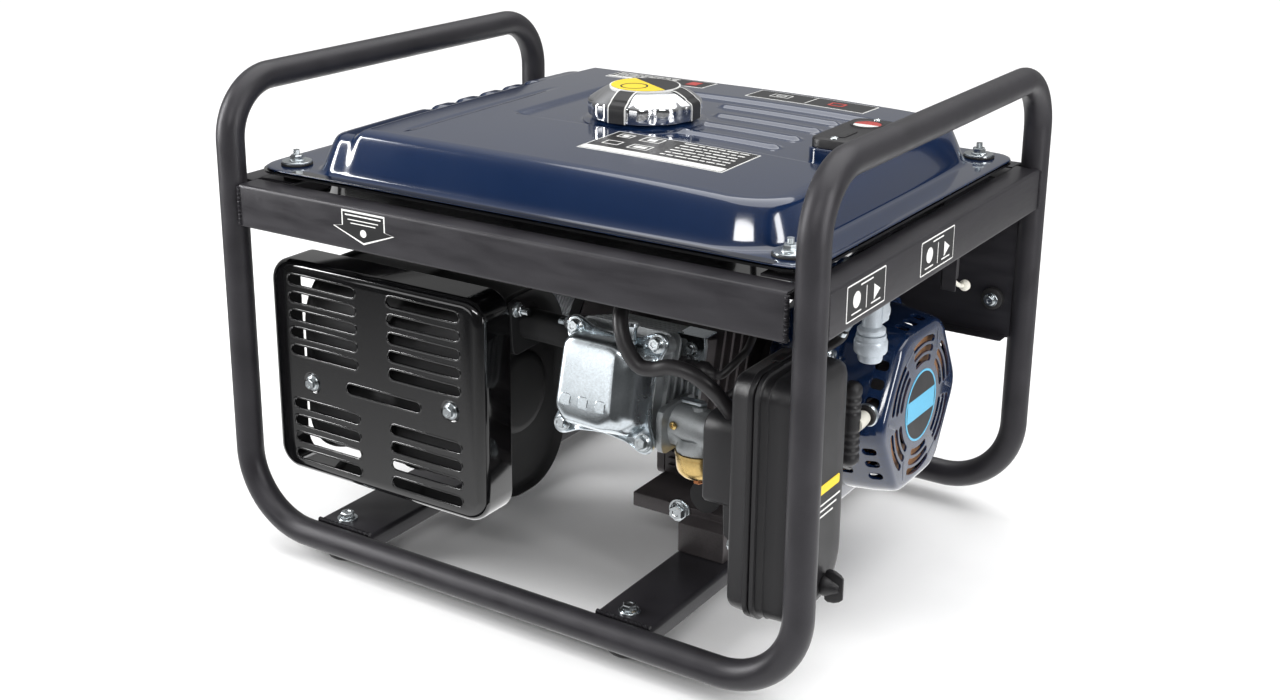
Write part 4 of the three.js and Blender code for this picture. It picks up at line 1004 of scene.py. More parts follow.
def make_guard():
    lo, hi = span("muffler_guard")
    front, back = lo[1], -170.0
    x, z = (lo[0], hi[0]), (lo[2], hi[2])

    def ring(inset, y, radius):
        return on_plane(rounded((x[0] + inset, x[1] - inset), (z[0] + inset, z[1] - inset), radius, 10),
                        "y", y)

    edge = 9.0
    outer = [ring(edge * (1 - math.cos(t)), front + edge * (1 - math.sin(t)),
                  22 - edge * (1 - math.cos(t)) * 0.9)
             for t in np.radians(np.linspace(90, 0, 9))]
    wall = 1.5
    inner = [ring(wall + edge * (1 - math.cos(t)), front + wall + edge * (1 - math.sin(t)),
                  20.5 - edge * (1 - math.cos(t)) * 0.9) for t in np.radians(np.linspace(0, 90, 7))]
    shell = loft([*outer, ring(0, back, 22), ring(wall, back, 20.5), *inner])
    slots = [prism(slot_outline(sx, sz, long, GUARD_SLOT_HEIGHT), "y", front - 4, front + 6)
             for sx, sz, long in GUARD_SLOTS]
    lips = []
    for sx, sz, long in GUARD_SLOTS:
        section = ((0, 1.4), (0, 0.1), (0.5, -0.45), (1.1, -0.6), (1.7, -0.4), (2.2, 0.2), (2.2, 1.4),
                   (0, 1.4))
        lips.append(loft([on_plane(slot_outline(sx, sz, long + 2 * d, GUARD_SLOT_HEIGHT + 2 * d), "y",
                                   front + out)
                          for d, out in section], caps=(False, False)))
    piece("guard_lips", merged(*lips), "gloss_black", angle=70)
    dishes = [revolve([(0, -1), (11, -1), (8.5, 1.2), (0, 1.2)], "y", (bx, front, bz), 40) for bx,
              bz in GUARD_BOLTS]
    piece("guard_shell", shell, "gloss_black", stands_for=["muffler_guard"], cutters=slots + dishes,
          bevel=0.7,
          segments=3, angle=40)
    for k, (bx, bz) in enumerate(GUARD_BOLTS):
        piece(f"guard_bolt_{k}", hex_bolt((bx, front + 1.1, bz), "y", 5.2, 7.6, 4.8, sign=-1), "bolt",
              angle=28)
        post = revolve([(0, 0), (7, 0), (7, 14), (0, 14)], "y", (bx, front + 1.6, bz), 24)
        piece(f"guard_post_{k}", post, "heat_black")


def make_muffler():
    x0, x1 = -236.0, -34.0
    cy, cz = -141.0, 177.0
    half_y, half_z, corner = 57.0, 93.0, 50.0

    def ring(x, out):
        return on_plane(rounded((cy - half_y - out, cy + half_y + out),
                                (cz - half_z - out, cz + half_z + out), corner + out, 16), "x", x)

    rows = [(x0 + 3, -46), (x0 + 3, -8), (x0 + 1.5, -3), (x0 - 2, 0.5), (x0 - 3, 1.6), (x0 - 2.4, 2.6),
            (x0 + 0.5, 2.7),
            (x0 + 3.5, 2.2), (x0 + 5, 0.4), (x0 + 12, 0), ((x0 + x1) / 2 - 6, 0), ((x0 + x1) / 2 - 4, 1.5),
            ((x0 + x1) / 2 + 4, 1.5), ((x0 + x1) / 2 + 6, 0), (x1 - 12, 0), (x1 - 5, 0.4), (x1 - 3.5, 2.2),
            (x1 - 0.5, 2.7),
            (x1 + 2.4, 2.6), (x1 + 3, 1.6), (x1 + 2, 0.5), (x1 - 1.5, -3), (x1 - 3, -8), (x1 - 3, -46)]
    piece("muffler_can", loft([ring(x, out) for x, out in rows]), "heat_black", stands_for=["muffler"],
          angle=45)
    outlet = [(8.8, x0 - 11.5), (10.8, x0 - 12), (11, x0 - 8), (11, x0 + 6), (8.8, x0 + 6),
              (8.8, x0 - 11.5)]
    piece("muffler_outlet", revolve(outlet, "x", (0, -130, 130), 40), "heat_black", angle=40)
    seam = [on_plane(circle(r, 60, 0, 0), "x", x) + [0, cy, cz] for x, r in
            ((x1 - 3.2, 38), (x1 - 0.8, 36), (x1 - 0.2, 30), (x1 - 0.2, 6))]
    piece("muffler_end_dish", loft(seam), "heat_black", angle=45)


def flange_plate(x, centre, bolts, near, far):
    """A three-cornered joint plate: a hull round the pipe and its studs, seen along X."""
    hull = [np.array([b, c]) for b, c in centre]
    angles = np.linspace(0, 2 * math.pi, 120, endpoint=False)
    reach = []
    for t in angles:
        d = np.array([math.cos(t), math.sin(t)])
        reach.append(max([p @ d + r for p, r in zip([np.zeros(2), *[np.array(b) for b in bolts]],
                                                     [18.5] + [8.0] * len(bolts))]))
    points = []
    for k, t in enumerate(angles):
        nxt = (k + 1) % len(angles)
        a, b = angles[k], angles[nxt] + (2 * math.pi if nxt == 0 else 0)
        m = np.array([[math.cos(a), math.sin(a)], [math.cos(b), math.sin(b)]])
        points.append(np.linalg.solve(m, [reach[k], reach[nxt]]))
    return prism(np.array(points) + hull[0], "x", near, far)


def make_exhaust():
    start, finish = np.array([36.4, -140, 243.0]), np.array([-29.6, -145, 246.0])
    path = smooth_path([start, (14, -140, 243), (-8, -145, 246), finish], 30, 8)
    piece("exhaust_tube", sweep(path, 13.8, 36), "heat_black", stands_for=["exhaust_pipe"], angle=50)
    for name, at, near, far in (("head", start, 31, 36.3), ("muffler", finish, -29.4, -24.6)):
        studs = [(-17, 17), (17, -15), (-15, -17)]
        plate = flange_plate("x", [at[1:]], studs, near, far)
        piece(f"exhaust_flange_{name}", plate, "heat_black", bevel=0.8, angle=35)
        toward = -1 if name == "head" else 1
        for k, (dy, dz) in enumerate(studs[:2]):
            face = near if name == "head" else far
            nut = hex_bolt((face, at[1] + dy, at[2] + dz), "x", 5.2, 6.8, 5, sign=toward, stud=7)
            piece(f"exhaust_nut_{name}_{k}", nut, "bolt", angle=28)


# ---------- engine ----------
CRANK = np.array([84.0, 61.0, 164.0])
CYLINDER_TILT = -14.0
COVER_SEAT = -246.3


def on_cylinder(mesh):
    """Takes a mesh from the cylinder's own frame (crank axis to valve cover along -Y) to its place."""
    v, f = turned(mesh, "X", CYLINDER_TILT)
    return v + CRANK, f


def spoke_outline(corners, count=144, smooth=3):
    """A convex outline as points at even angles, with softened corners."""
    p = np.array(corners, float)
    out = []
    for t in np.linspace(0, 2 * math.pi, count, endpoint=False):
        d = np.array([math.cos(t), math.sin(t)])
        best = None
        for a, b in zip(p, np.roll(p, -1, axis=0)):
            m = np.array([d, a - b]).T
            if abs(np.linalg.det(m)) < 1e-9:
                continue
            s, u = np.linalg.solve(m, a)
            if s > 0 and -1e-6 <= u <= 1 + 1e-6:
                best = s if best is None else min(best, s)
        out.append(d * best)
    out = np.array(out)
    for _ in range(smooth):
        out = (np.roll(out, 1, axis=0) + out * 2 + np.roll(out, -1, axis=0)) / 4
    return out


def make_valve_cover():
    seat = COVER_SEAT
    ears = [(-40, -41), (40, -41), (40, 41), (-40, 41)]
    angles = np.linspace(0, 2 * math.pi, 180, endpoint=False)
    body = spoke_outline(rounded((-44, 44), (-45, 45), 12), 180, 2)
    rim = []
    for t, base in zip(angles, body):
        d = np.array([math.cos(t), math.sin(t)])
        reach = np.linalg.norm(base) - 3.5 * (np.cos(4 * t) * 0.5 + 0.5)
        for ear in ears:
            along = d @ ear
            aside = abs(d[0] * ear[1] - d[1] * ear[0])
            if aside < 10.5 and along > 0:
                reach = max(reach, along + math.sqrt(10.5**2 - aside**2))
        rim.append(d * reach)
    rim = np.array(rim)
    for _ in range(5):
        rim = (np.roll(rim, 1, axis=0) + rim * 2 + np.roll(rim, -1, axis=0)) / 4
    rings = [on_plane(rim, "y", seat), on_plane(rim * 1.004, "y", seat - 1.6),
             on_plane(rim * 0.995, "y", seat - 3.2),
             on_plane(rim * 0.975, "y", seat - 3.9), on_plane(rim * 0.95, "y", seat - 3.4),
             on_plane(rim * 0.9, "y", seat - 2.2), on_plane(rim * 0.6, "y", seat - 2.2)]
    piece("cover_flange", on_cylinder(loft(rings)), "zinc", stands_for=["valve_cover"], angle=50)
    low = spoke_outline([(-40, -30), (-33, -40), (28, -40), (41, -28), (41, 30), (33, 40), (-34, 40),
                         (-40, 34)], 180, 4)
    high = spoke_outline([(-34, -22), (-24, -31), (9, -33), (22, -24), (19, 31), (12, 35), (-28, 35),
                          (-34, 29)], 180, 5)
    levels = [(0.0, 1.0), (0.05, 4), (0.12, 9), (0.24, 14.5), (0.42, 19.5), (0.62, 23), (0.82, 25.2),
              (1.0, 26.2)]
    rings = [on_plane(low, "y", seat - 2.0)]
    for t, h in levels[1:]:
        rings.append(on_plane(low * (1 - t) + high * t, "y", seat - h))
    for scale, h in ((0.94, 26.8), (0.85, 27.2), (0.65, 27.5), (0.35, 27.6), (0.08, 27.6)):
        rings.append(on_plane(high * scale, "y", seat - h))
    piece("cover_bulge", on_cylinder(loft(rings)), "zinc", angle=60)
    marks = []
    for x in (-25, -8, 9):
        marks.append(prism(rounded((x - 5, x + 5), (-21, -11), 2.2, 5), "y", seat - 28.1, seat - 26.4))
    piece("cover_ribs", on_cylinder(merged(*marks)), "zinc", bevel=0.7, segments=3, angle=40)
    for k, (x, z) in enumerate(ears):
        piece(f"cover_bolt_{k}", on_cylinder(hex_bolt((x, seat - 2.4, z), "y", 5.4, 7.6, 5.6, sign=-1)),
              "bolt", angle=28)
    gasket = prism(rim * 0.985, "y", seat + 0.05, seat + 1.3)
    piece("cover_gasket", on_cylinder(gasket), "rubber")
    nipple = revolve([(0, 0), (6.2, 0), (6.2, 4), (5, 5), (5, 14), (5.6, 15), (5, 18), (0, 18)], "z",
                     (18, seat - 10, 37), 28)
    piece("breather_nipple", on_cylinder(nipple), "zinc", angle=40)


def make_head():
    core = prism(rounded((-42, 42), (-43, 43), 8), "y", -246, -165.6)
    fins = []
    for k in range(6):
        y = -232 + k * 11
        fins.append(prism(rounded((-46, 45.6), (-46, 50), 9), "y", y, y + 2.6))
    lugs = [prism(circle(8.5, 28, x, z), "y", -246, -228) for x in (-38, 38) for z in (-39, 39)]
    piece("head_casting", on_cylinder(merged(core, *fins, *lugs)), "cast_light",
          stands_for=["cylinder_head"],
          bevel=0.6, segments=2)
    plug = [(0, 0), (9, 0), (9, 4), (7, 5), (7, 16), (8.4, 18), (8.4, 24), (6.4, 27), (4.4, 30), (4.4, 34),
            (0, 34)]
    piece("plug_boot", on_cylinder(revolve(plug, "x", (45.5, -214, 22), 32)), "hose", angle=40)


def refined(node, material, bevel=0.6, name=None, body="frame", angle=30):
    """A CAD shape again, with its flat faces joined up and its edges softened."""
    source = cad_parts[node]
    data = source.data.copy()
    work = bmesh.new()
    work.from_mesh(data)
    bmesh.ops.remove_doubles(work, verts=work.verts, dist=1e-6)
    bmesh.ops.dissolve_limit(work, angle_limit=math.radians(1), verts=work.verts, edges=work.edges)
    work.to_mesh(data)
    work.free()
    data.materials.clear()
    data.materials.append(MATERIALS[material])
    made = bpy.data.objects.new(name or node + "_finished", data)
    bpy.context.collection.objects.link(made)
    data.shade_smooth()
    edge = made.modifiers.new("edges", "BEVEL")
    edge.width = bevel * MM
    edge.segments = 2
    edge.limit_method = "ANGLE"
    edge.angle_limit = math.radians(angle)
    edge.harden_normals = True
    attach(made, body)
    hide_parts(node)
    return made


def make_crankcase():
    refined("crankcase", "cast_grey", 1.0)
    piece("drain_plug", hex_bolt((88, -69.5, 66), "y", 7.5, 11, 7, sign=-1), "bolt", angle=28)
    piece("oil_filler", revolve([(0, 0), (15, 0), (15, 3), (12, 4), (12, 10), (10.5, 12), (0, 12)], "y",
                                (120, -81.2, 92), 36), "plastic", angle=35)
    for k, (y, z) in enumerate(((118, 190), (135, 150), (118, 108), (6, 82), (60, 68))):
        piece(f"case_bolt_{k}", hex_bolt((150.1, y, z), "x", 5.2, 7, 5), "bolt", angle=28)
    ribs = []
    for k in range(5):
        z = 78 + k * 7
        ribs.append(block((42, 146), (-16.6, -14.1), (z, z + 2.4)))
    piece("case_ribs", merged(*ribs), "cast_grey", bevel=0.5, segments=2)


def make_carburettor():
    centre = np.array([156.0, -155.0, 192.0])
    refined("carburettor_body", "cast_light", 0.8)
    bowl = [(0, -42.8), (10, -42.4), (14, -40.5), (17.5, -36.8), (18.6, -33), (19.2, -26), (19.2, -22.5),
            (20, -21.8), (20, -18.8), (0, -18.8)]
    piece("bowl_shell", revolve(bowl, "z", tuple(centre), 56), "brass", stands_for=["float_bowl"], angle=40)
    piece("bowl_drain", hex_bolt((centre[0], centre[1], centre[2] - 42.4), "z", 4.4, 6, 4.5, sign=-1),
          "copper", angle=28)
    piece("idle_screw", screw((centre[0] - 14, centre[1] - 18.4, centre[2] + 6), "y", 3.6, sign=-1),
          "brass")
    refined("throttle_arm", "zinc", 0.4, body="throttle")
    bracket = merged(block((120, 146), (-132, -130.4), (236, 262)),
                     block((120, 146), (-132, -112), (260.4, 262)))
    piece("governor_bracket", bracket, "zinc", bevel=0.5, segments=2)
    stud = hex_bolt((133, -132, 250), "y", 4.6, 6.5, 4.5, sign=-1)
    piece("governor_bolt", stud, "bolt", angle=28)
    rod = spline_path([(150, -150, 218), (146, -140, 228), (138, -128, 244), (134, -118, 256)], 10)
    piece("governor_link", sweep(rod, 1.2, 12), "zinc", angle=60)


def make_hoses():
    """The breather hose and the plug lead are held at both ends, so they take no spare length."""
    hose = spline_path([(108, -196, 302), (111, -206, 297), (116, -212, 286), (122, -214, 274),
                        (133, -213, 261),
                        (146, -211, 260), (160, -209, 264), (176, -205, 261), (189, -198, 250),
                        (197, -187, 234), (199, -174, 218)], 12)
    piece("breather_hose", sweep(hose, 6.4, 28), "hose", angle=60)
    collar = [(6.2, 0), (8.6, 0), (8.6, 6), (6.2, 6), (6.2, 0)]
    piece("hose_collar", revolve(collar, "z", (199, -172, 216), 30), "hose", angle=40)
    boot = on_cylinder((np.array([(78, -214, 22.0)]), []))[0][0]
    lead = spline_path([boot, boot + (8, -2, 2), boot + (16, 14, 14), (170, -100, 250), (160, -60, 262),
                        (150, -20, 262)], 12)
    piece("plug_lead", sweep(lead, 3.4, 20), "hose", angle=60)


# ---------- intake ----------
FILTER_Y = (-213.0, -112.0)
FILTER_Z = (62.0, 272.0)
SEAM = 236.0


def filter_ring(x, inset):
    radii = [max(r - inset, 2) for r in (20, 20, 20, 45)]
    outline = rounded((FILTER_Y[0] + inset, FILTER_Y[1] - inset),
                      (FILTER_Z[0] + inset, FILTER_Z[1] - inset), radii, 12)
    return on_plane(outline, "x", x)


def filter_shell(name, rows, wall, **how):
    """A moulded tray: rows of (x, inset) from its closed face to its open edge."""
    sign = 1 if rows[-1][0] > rows[0][0] else -1
    inner = [(x, inset + wall) for x, inset in rows[2:]]
    inner[0] = (rows[0][0] + sign * wall, rows[0][1] + wall)
    rings = [filter_ring(x, i) for x, i in rows] + [filter_ring(x, i) for x, i in inner[::-1]]
    return piece(name, loft(rings), "plastic", angle=38, **how)


def make_filter():
    _, hi = span("air_filter_cover")
    back = span("air_filter_case")[0][0]
    case = [(back, 14), (back, 8), (back + 0.8, 5.8), (back + 2.4, 4.4), (back + 4.5, 3.8),
            (SEAM - 6.6, 3.2),
            (SEAM - 5.8, 2.6), (SEAM - 5.4, 0.9), (SEAM - 4.8, 0.3), (SEAM - 1.6, 0.3), (SEAM - 0.8, 0.9),
            (SEAM - 0.35, 1.6)]
    throat = prism(rounded((-184, -144), (152, 216), 9), "x", back - 2, back + 4)
    filter_shell("filter_case", case, 2.8, stands_for=["air_filter_case"], cutters=[throat])
    front = hi[0]
    cover = [(front, 26), (front - 0.4, 14), (front - 1.6, 8.6), (front - 3.6, 5.6), (front - 6.5, 4.2),
             (front - 14, 3.7), (SEAM + 13.4, 3.4), (SEAM + 12.8, 2.9), (SEAM + 12.2, 2.6),
             (SEAM + 11.4, 3.3),
             (SEAM + 6.4, 3.2), (SEAM + 5.6, 2.6), (SEAM + 5.2, 0.9), (SEAM + 4.6, 0.3), (SEAM + 1.4, 0.3),
             (SEAM + 0.8, 0.9), (SEAM + 0.35, 1.6)]
    hole = prism(circle(5.4, 24, -150, 82), "x", front - 9, front + 2)
    filter_shell("filter_lid", cover, 2.8, body="filter_lid", stands_for=["air_filter_cover"],
                 cutters=[hole])
    outline = rounded((-184, -130), (165, 173), 2)
    label = loft([on_plane(outline, "x", front - 0.5), on_plane(outline, "x", front + 0.28)])
    piece("filter_label", label, "yellow", body="filter_lid")
    lines = [block((front - 0.5, front + 0.25), (-186, -128 - 6 * k), (155 - 5 * k, 156.4 - 5 * k))
             for k in range(3)]
    piece("filter_print", merged(*lines), "white", body="filter_lid")
    make_knob(front)
    clips = []
    for y, z in ((-160, FILTER_Z[1] - 0.6), (-160, FILTER_Z[0] + 0.6)):
        clips.append(block((SEAM - 9, SEAM - 0.6), (y - 9, y + 9), (z - 1.6, z + 1.0)))
    piece("filter_clip_feet", merged(*clips), "plastic", bevel=0.6, segments=2)


def make_knob(front):
    y, z = -150, 82
    hub = revolve([(0, 0.35), (9, 0.35), (9.4, 1.2), (8.8, 4.5), (7.6, 7), (6.4, 9), (5.4, 12), (3.5, 14.5),
                   (0, 15)], "x",
                  (front, y, z), 40)
    stem = revolve([(0, -35), (4.7, -35), (4.7, 1), (0, 1)], "x", (front, y, z), 24)
    rings = []
    for x, half, thin in ((2, 13.2, 2.6), (5, 14.8, 2.8), (10, 14.2, 2.3), (14.5, 12.2, 1.8),
                          (17.4, 9.5, 1.2)):
        outline = slot_outline(0, 0, 2 * half, 2 * thin, 90, 8)
        rings.append(on_plane(outline, "x", front + x) + [0, y, z])
    wing = loft(rings)
    piece("knob_hub", merged(hub, stem), "plastic", body="filter_knob", stands_for=["air_filter_knob"],
          angle=40)
    piece("knob_wing", wing, "plastic", body="filter_knob", bevel=0.5, angle=40)


def make_duct():
    lo, hi = span("intake_duct")
    rows = [(lo[0], 3, 0), (lo[0] + 1.2, 1, 0), (lo[0] + 3, 0, 0), (lo[0] + 20, 0, 0), (hi[0] - 0.1, 0, 0)]
    rings = []
    for x, inset, _ in rows:
        outline = rounded((lo[1] + inset, hi[1] - inset), (lo[2] + inset, hi[2] - inset), [13, 13, 6, 13],
                          8)
        rings.append(on_plane(outline, "x", x))
    bore = prism(circle(14, 36, -155, 192), "x", lo[0] - 2, lo[0] + 8)
    hollow = prism(rounded((lo[1] + 3, hi[1] - 3), (lo[2] + 3, hi[2] - 3), 10), "x", lo[0] + 3, hi[0] + 2)
    piece("duct_shell", loft(rings), "plastic", stands_for=["intake_duct"], cutters=[bore, hollow],
          angle=40)
    tray = [on_plane([(lo[1] + 4, 120), (hi[1] - 14, 120), (hi[1] - 2, 150), (lo[1] + 2, 150)], "x",
                     hi[0] - 16),
            on_plane([(lo[1] + 4, 108), (hi[1] - 14, 108), (hi[1] - 2, 150), (lo[1] + 2, 150)], "x",
                     hi[0] - 0.3)]
    piece("duct_gusset", loft(tray), "plastic", bevel=1.2, segments=3)
    nuts = merged(hex_bolt((hi[0] - 6, lo[1] + 8, 112), "x", 5, 7, 5, sign=-1))
    piece("duct_nut", nuts, "bolt", angle=28)


# ---------- recoil starter and fan ----------
COVER_NEAR, COVER_FAR = 205.3, 260.0


def hexagon(r, soft=0.12, steps=5):
    """A hexagon with corners on the Y axis, each rounded by a curve from side to side."""
    corners = circle(r, 6)
    out = []
    for k, here in enumerate(corners):
        before = here + (corners[k - 1] - here) * soft * 1.6
        after = here + (corners[(k + 1) % 6] - here) * soft * 1.6
        for t in np.linspace(0, 1, steps + 1):
            out.append((1 - t) ** 2 * before + 2 * t * (1 - t) * here + t * t * after)
    return np.array(out)


def about_crank(outline, axis_at):
    return on_plane(outline + [CRANK[1], CRANK[2]], "x", axis_at)


def curved_slot(radius, width, half_degrees, at_degrees, steps=14):
    inner = arc(0, 0, radius - width / 2, at_degrees - half_degrees, at_degrees + half_degrees, steps)
    outer = arc(0, 0, radius + width / 2, at_degrees + half_degrees, at_degrees - half_degrees, steps)
    ends = []
    for edge, side in ((at_degrees + half_degrees, 1), (at_degrees - half_degrees, -1)):
        t = math.radians(edge)
        centre = radius * np.array([math.cos(t), math.sin(t)])
        start = edge + (180 if side > 0 else 0)
        ends.append(arc(*centre, width / 2, start, start - 180, 6)[1:-1])
    return np.vstack([inner, ends[0], outer, ends[1]])


def make_recoil_cover():
    near, far = COVER_NEAR, COVER_FAR
    outer = [(near + 6, 91.6), (near + 34, 88.4), (far - 8, 85.8), (far - 4, 84.6), (far - 1.4, 82.4),
             (far - 0.2, 79.8), (far, 77.5)]
    inner = [(far - 2.2, 76), (far - 4, 80.8), (far - 9, 83), (near + 6, 88.8)]
    drum = shell_with_face(near, far, outer, inner)
    slots = []
    for sector in range(6):
        middle_angle = sector * 60 + 30
        for radius, half in ((43.5, 18), (52.5, 20), (61.5, 19.5)):
            outline = curved_slot(radius, 6.0, half, middle_angle)
            slots.append(loft([about_crank(outline, far - 7), about_crank(outline, far + 3)]))
    for sector in range(6):
        slots += side_slots(sector, near, far)
    piece("recoil_shell", drum, "navy", stands_for=["recoil_cover"], cutters=slots, bevel=0.55, segments=2,
          angle=40)
    beads = []
    for sector in range(6):
        t = math.radians(sector * 60)
        outer_end = 62 * np.array([math.cos(t), math.sin(t)])
        beads.append(slot_outline(*outer_end, 19, 3.4, -(sector * 60 + 28), 6))
    lifted = [loft([about_crank(b, far - 0.8), about_crank(b, far + 0.3)]) for b in beads]
    piece("recoil_beads", merged(*lifted), "navy", bevel=0.4, segments=2)
    badge(far)
    cup = [(24, 198), (74, 198), (76, 200), (76, 208), (74, 208), (74, 200.4), (24, 200.4), (24, 198)]
    piece("starter_cup", revolve(cup, "x", (0, CRANK[1], CRANK[2]), 72), "copper", body="crank", angle=40)
    lining = [(38, far - 8.5), (69, far - 8.5), (69, far - 7.5), (38, far - 7.5), (38, far - 8.5)]
    piece("recoil_lining", revolve(lining, "x", (0, CRANK[1], CRANK[2]), 72), "tan", angle=40)


def shell_with_face(near, far, outer, inner):
    """A hexagonal cup: down its inside from the face, round the open rim, and back over its outside."""
    inside = [(far - 2.2, 30), *inner, (near, 89.2)]
    outside = [(near, 92), *outer, (far, 30)]
    return loft([about_crank(hexagon(r), x) for x, r in inside + outside])


def side_slots(sector, near, far):
    """Rounded slots through one of the six side walls, in two rows near the front edge."""
    cutters = []
    turn = sector * 60 + 30
    for row, xs in ((0, far - 15), (1, near + 13)):
        for k in (-1, 0, 1):
            outline = rounded((xs - 6.5, xs + 6.5), (k * 17 - 4.6 + row * 4, k * 17 + 4.6 + row * 4), 3.8,
                              5)
            v, f = prism(outline, "z", 66, 100)
            spun, _ = turned((v, f), "X", turn - 90)
            cutters.append((spun + [0, CRANK[1], CRANK[2]], f))
        if sector not in (0, 3, 4):
            break
    return cutters


def badge(far):
    at = (0, CRANK[1], CRANK[2])
    field = revolve([(0, far - 0.6), (33, far - 0.6), (33, far + 0.2), (0, far + 0.2)], "x", at, 96)
    piece("badge_field", field, "ink")
    ring = revolve([(31.4, far - 0.5), (33.4, far - 0.5), (33.4, far + 0.4), (31.4, far + 0.4),
                    (31.4, far - 0.5)], "x",
                   at, 96)
    piece("badge_ring", ring, "sky")
    half, reach = 10.0, 29.6
    band = np.array([(-reach, -half), (reach, -half), (reach, half), (-reach, half)])
    piece("badge_band", loft([about_crank(band, far - 0.5), about_crank(band, far + 0.35)]), "sky")


def make_fan_housing():
    lo, hi = span("fan_housing")
    y = (CRANK[1] - 90, CRANK[1] + 92)
    z = (CRANK[2] - 98, CRANK[2] + 94)

    def ring(x, inset, r):
        return on_plane(rounded((y[0] + inset, y[1] - inset), (z[0] + inset, z[1] - inset), r, 14), "x", x)

    rows = [(lo[0], 3, 57), (lo[0], 1, 59), (lo[0] + 1.2, 0, 60), (lo[0] + 30, 0.4, 60),
            (hi[0] - 8, 1.2, 59),
            (hi[0] - 3, 2.6, 58), (hi[0] - 0.8, 5.2, 56), (hi[0], 8, 54), (hi[0], 30, 40)]
    back = [(hi[0] - 2.4, 30, 40), (hi[0] - 2.4, 8, 54), (hi[0] - 6, 4.6, 57), (lo[0], 3, 57)]
    shell = loft([ring(*row) for row in rows[::-1]] + [ring(*row) for row in back[::-1]])
    mouth = revolve([(0, hi[0] - 8), (66, hi[0] - 8), (66, hi[0] + 4), (0, hi[0] + 4)], "x",
                    (0, CRANK[1], CRANK[2]), 72)
    piece("fan_shroud", shell, "navy", stands_for=["fan_housing"], cutters=[mouth], bevel=0.4, segments=2,
          angle=50)
    for k, (dy, dz) in enumerate(((-74, 60), (78, 58), (-74, -72), (78, -70))):
        piece(f"shroud_bolt_{k}", hex_bolt((hi[0] - 2.4, CRANK[1] + dy, CRANK[2] + dz), "x", 4.2, 6, 4.4),
              "bolt", angle=28)


def make_rope_guide():
    x, z = CRANK[0] + 160, CRANK[2] + 14
    mouth = CRANK[1] - 84
    ring = [(3.6, mouth + 0.2), (8.2, mouth + 0.2), (9.6, mouth + 1.8), (9.6, mouth + 4.5),
            (8.2, mouth + 6), (8.2, mouth + 26), (3.6, mouth + 26), (3.6, mouth + 0.2)]
    piece("guide_bush", revolve(ring, "y", (x, 0, z), 36), "plastic", angle=40)
    bright = [(9.5, mouth + 1.6), (10.6, mouth + 2.4), (10.6, mouth + 4.2), (9.5, mouth + 5),
              (9.5, mouth + 1.6)]
    piece("guide_ring", revolve(bright, "y", (x, 0, z), 40), "zinc", angle=40)
    path = np.array([(x, y, z) for y in np.linspace(9, mouth - 0.7, 80)])
    rope = piece("pull_rope", sweep(path, 2.4, 14), "rope", body=None, stands_for=["starter_rope"],
                 angle=60)
    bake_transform(rope)


def make_grip():
    x, y, z = CRANK + (157, -106, 17)
    heights = np.linspace(-41.5, 35.5, 78)
    rings = []
    for h in heights:
        t = (h + 3) / 39
        half = 9.0 + 0.5 * abs(t) ** 2 * (abs(t) < 0.9)
        end = math.sqrt(max(0.02, 1 - max(0, abs(t) - 0.8) ** 2 / 0.042))
        groove = 1.1 * (0.5 - 0.5 * math.cos(h * 2 * math.pi / 6.5)) * (abs(t) < 0.78) * (abs(h) > 7)
        deep = (half - 0.4) * end - groove * 0.35
        wide = half * end - groove
        outline = np.stack([wide * 0.92 * np.cos(np.linspace(0, 2 * math.pi, 40, endpoint=False)),
                            deep * np.sin(np.linspace(0, 2 * math.pi, 40, endpoint=False))], 1)
        rings.append(on_plane(outline, "z", h) + [x, y, z])
    piece("grip_handle", loft(rings), "plastic", body="grip", stands_for=["starter_grip"], angle=60)
    gx, gz = CRANK[0] + 160, CRANK[2] + 14
    mouth = CRANK[1] - 84
    neck = [(0, y), (7.6, y), (7.4, y + 9), (6.6, mouth - 4.5), (6.2, mouth - 2.4), (5.2, mouth - 1.2),
            (0, mouth - 1.2)]
    piece("grip_neck", revolve(neck, "y", (gx, 0, gz), 32), "cream", body="grip", angle=40)


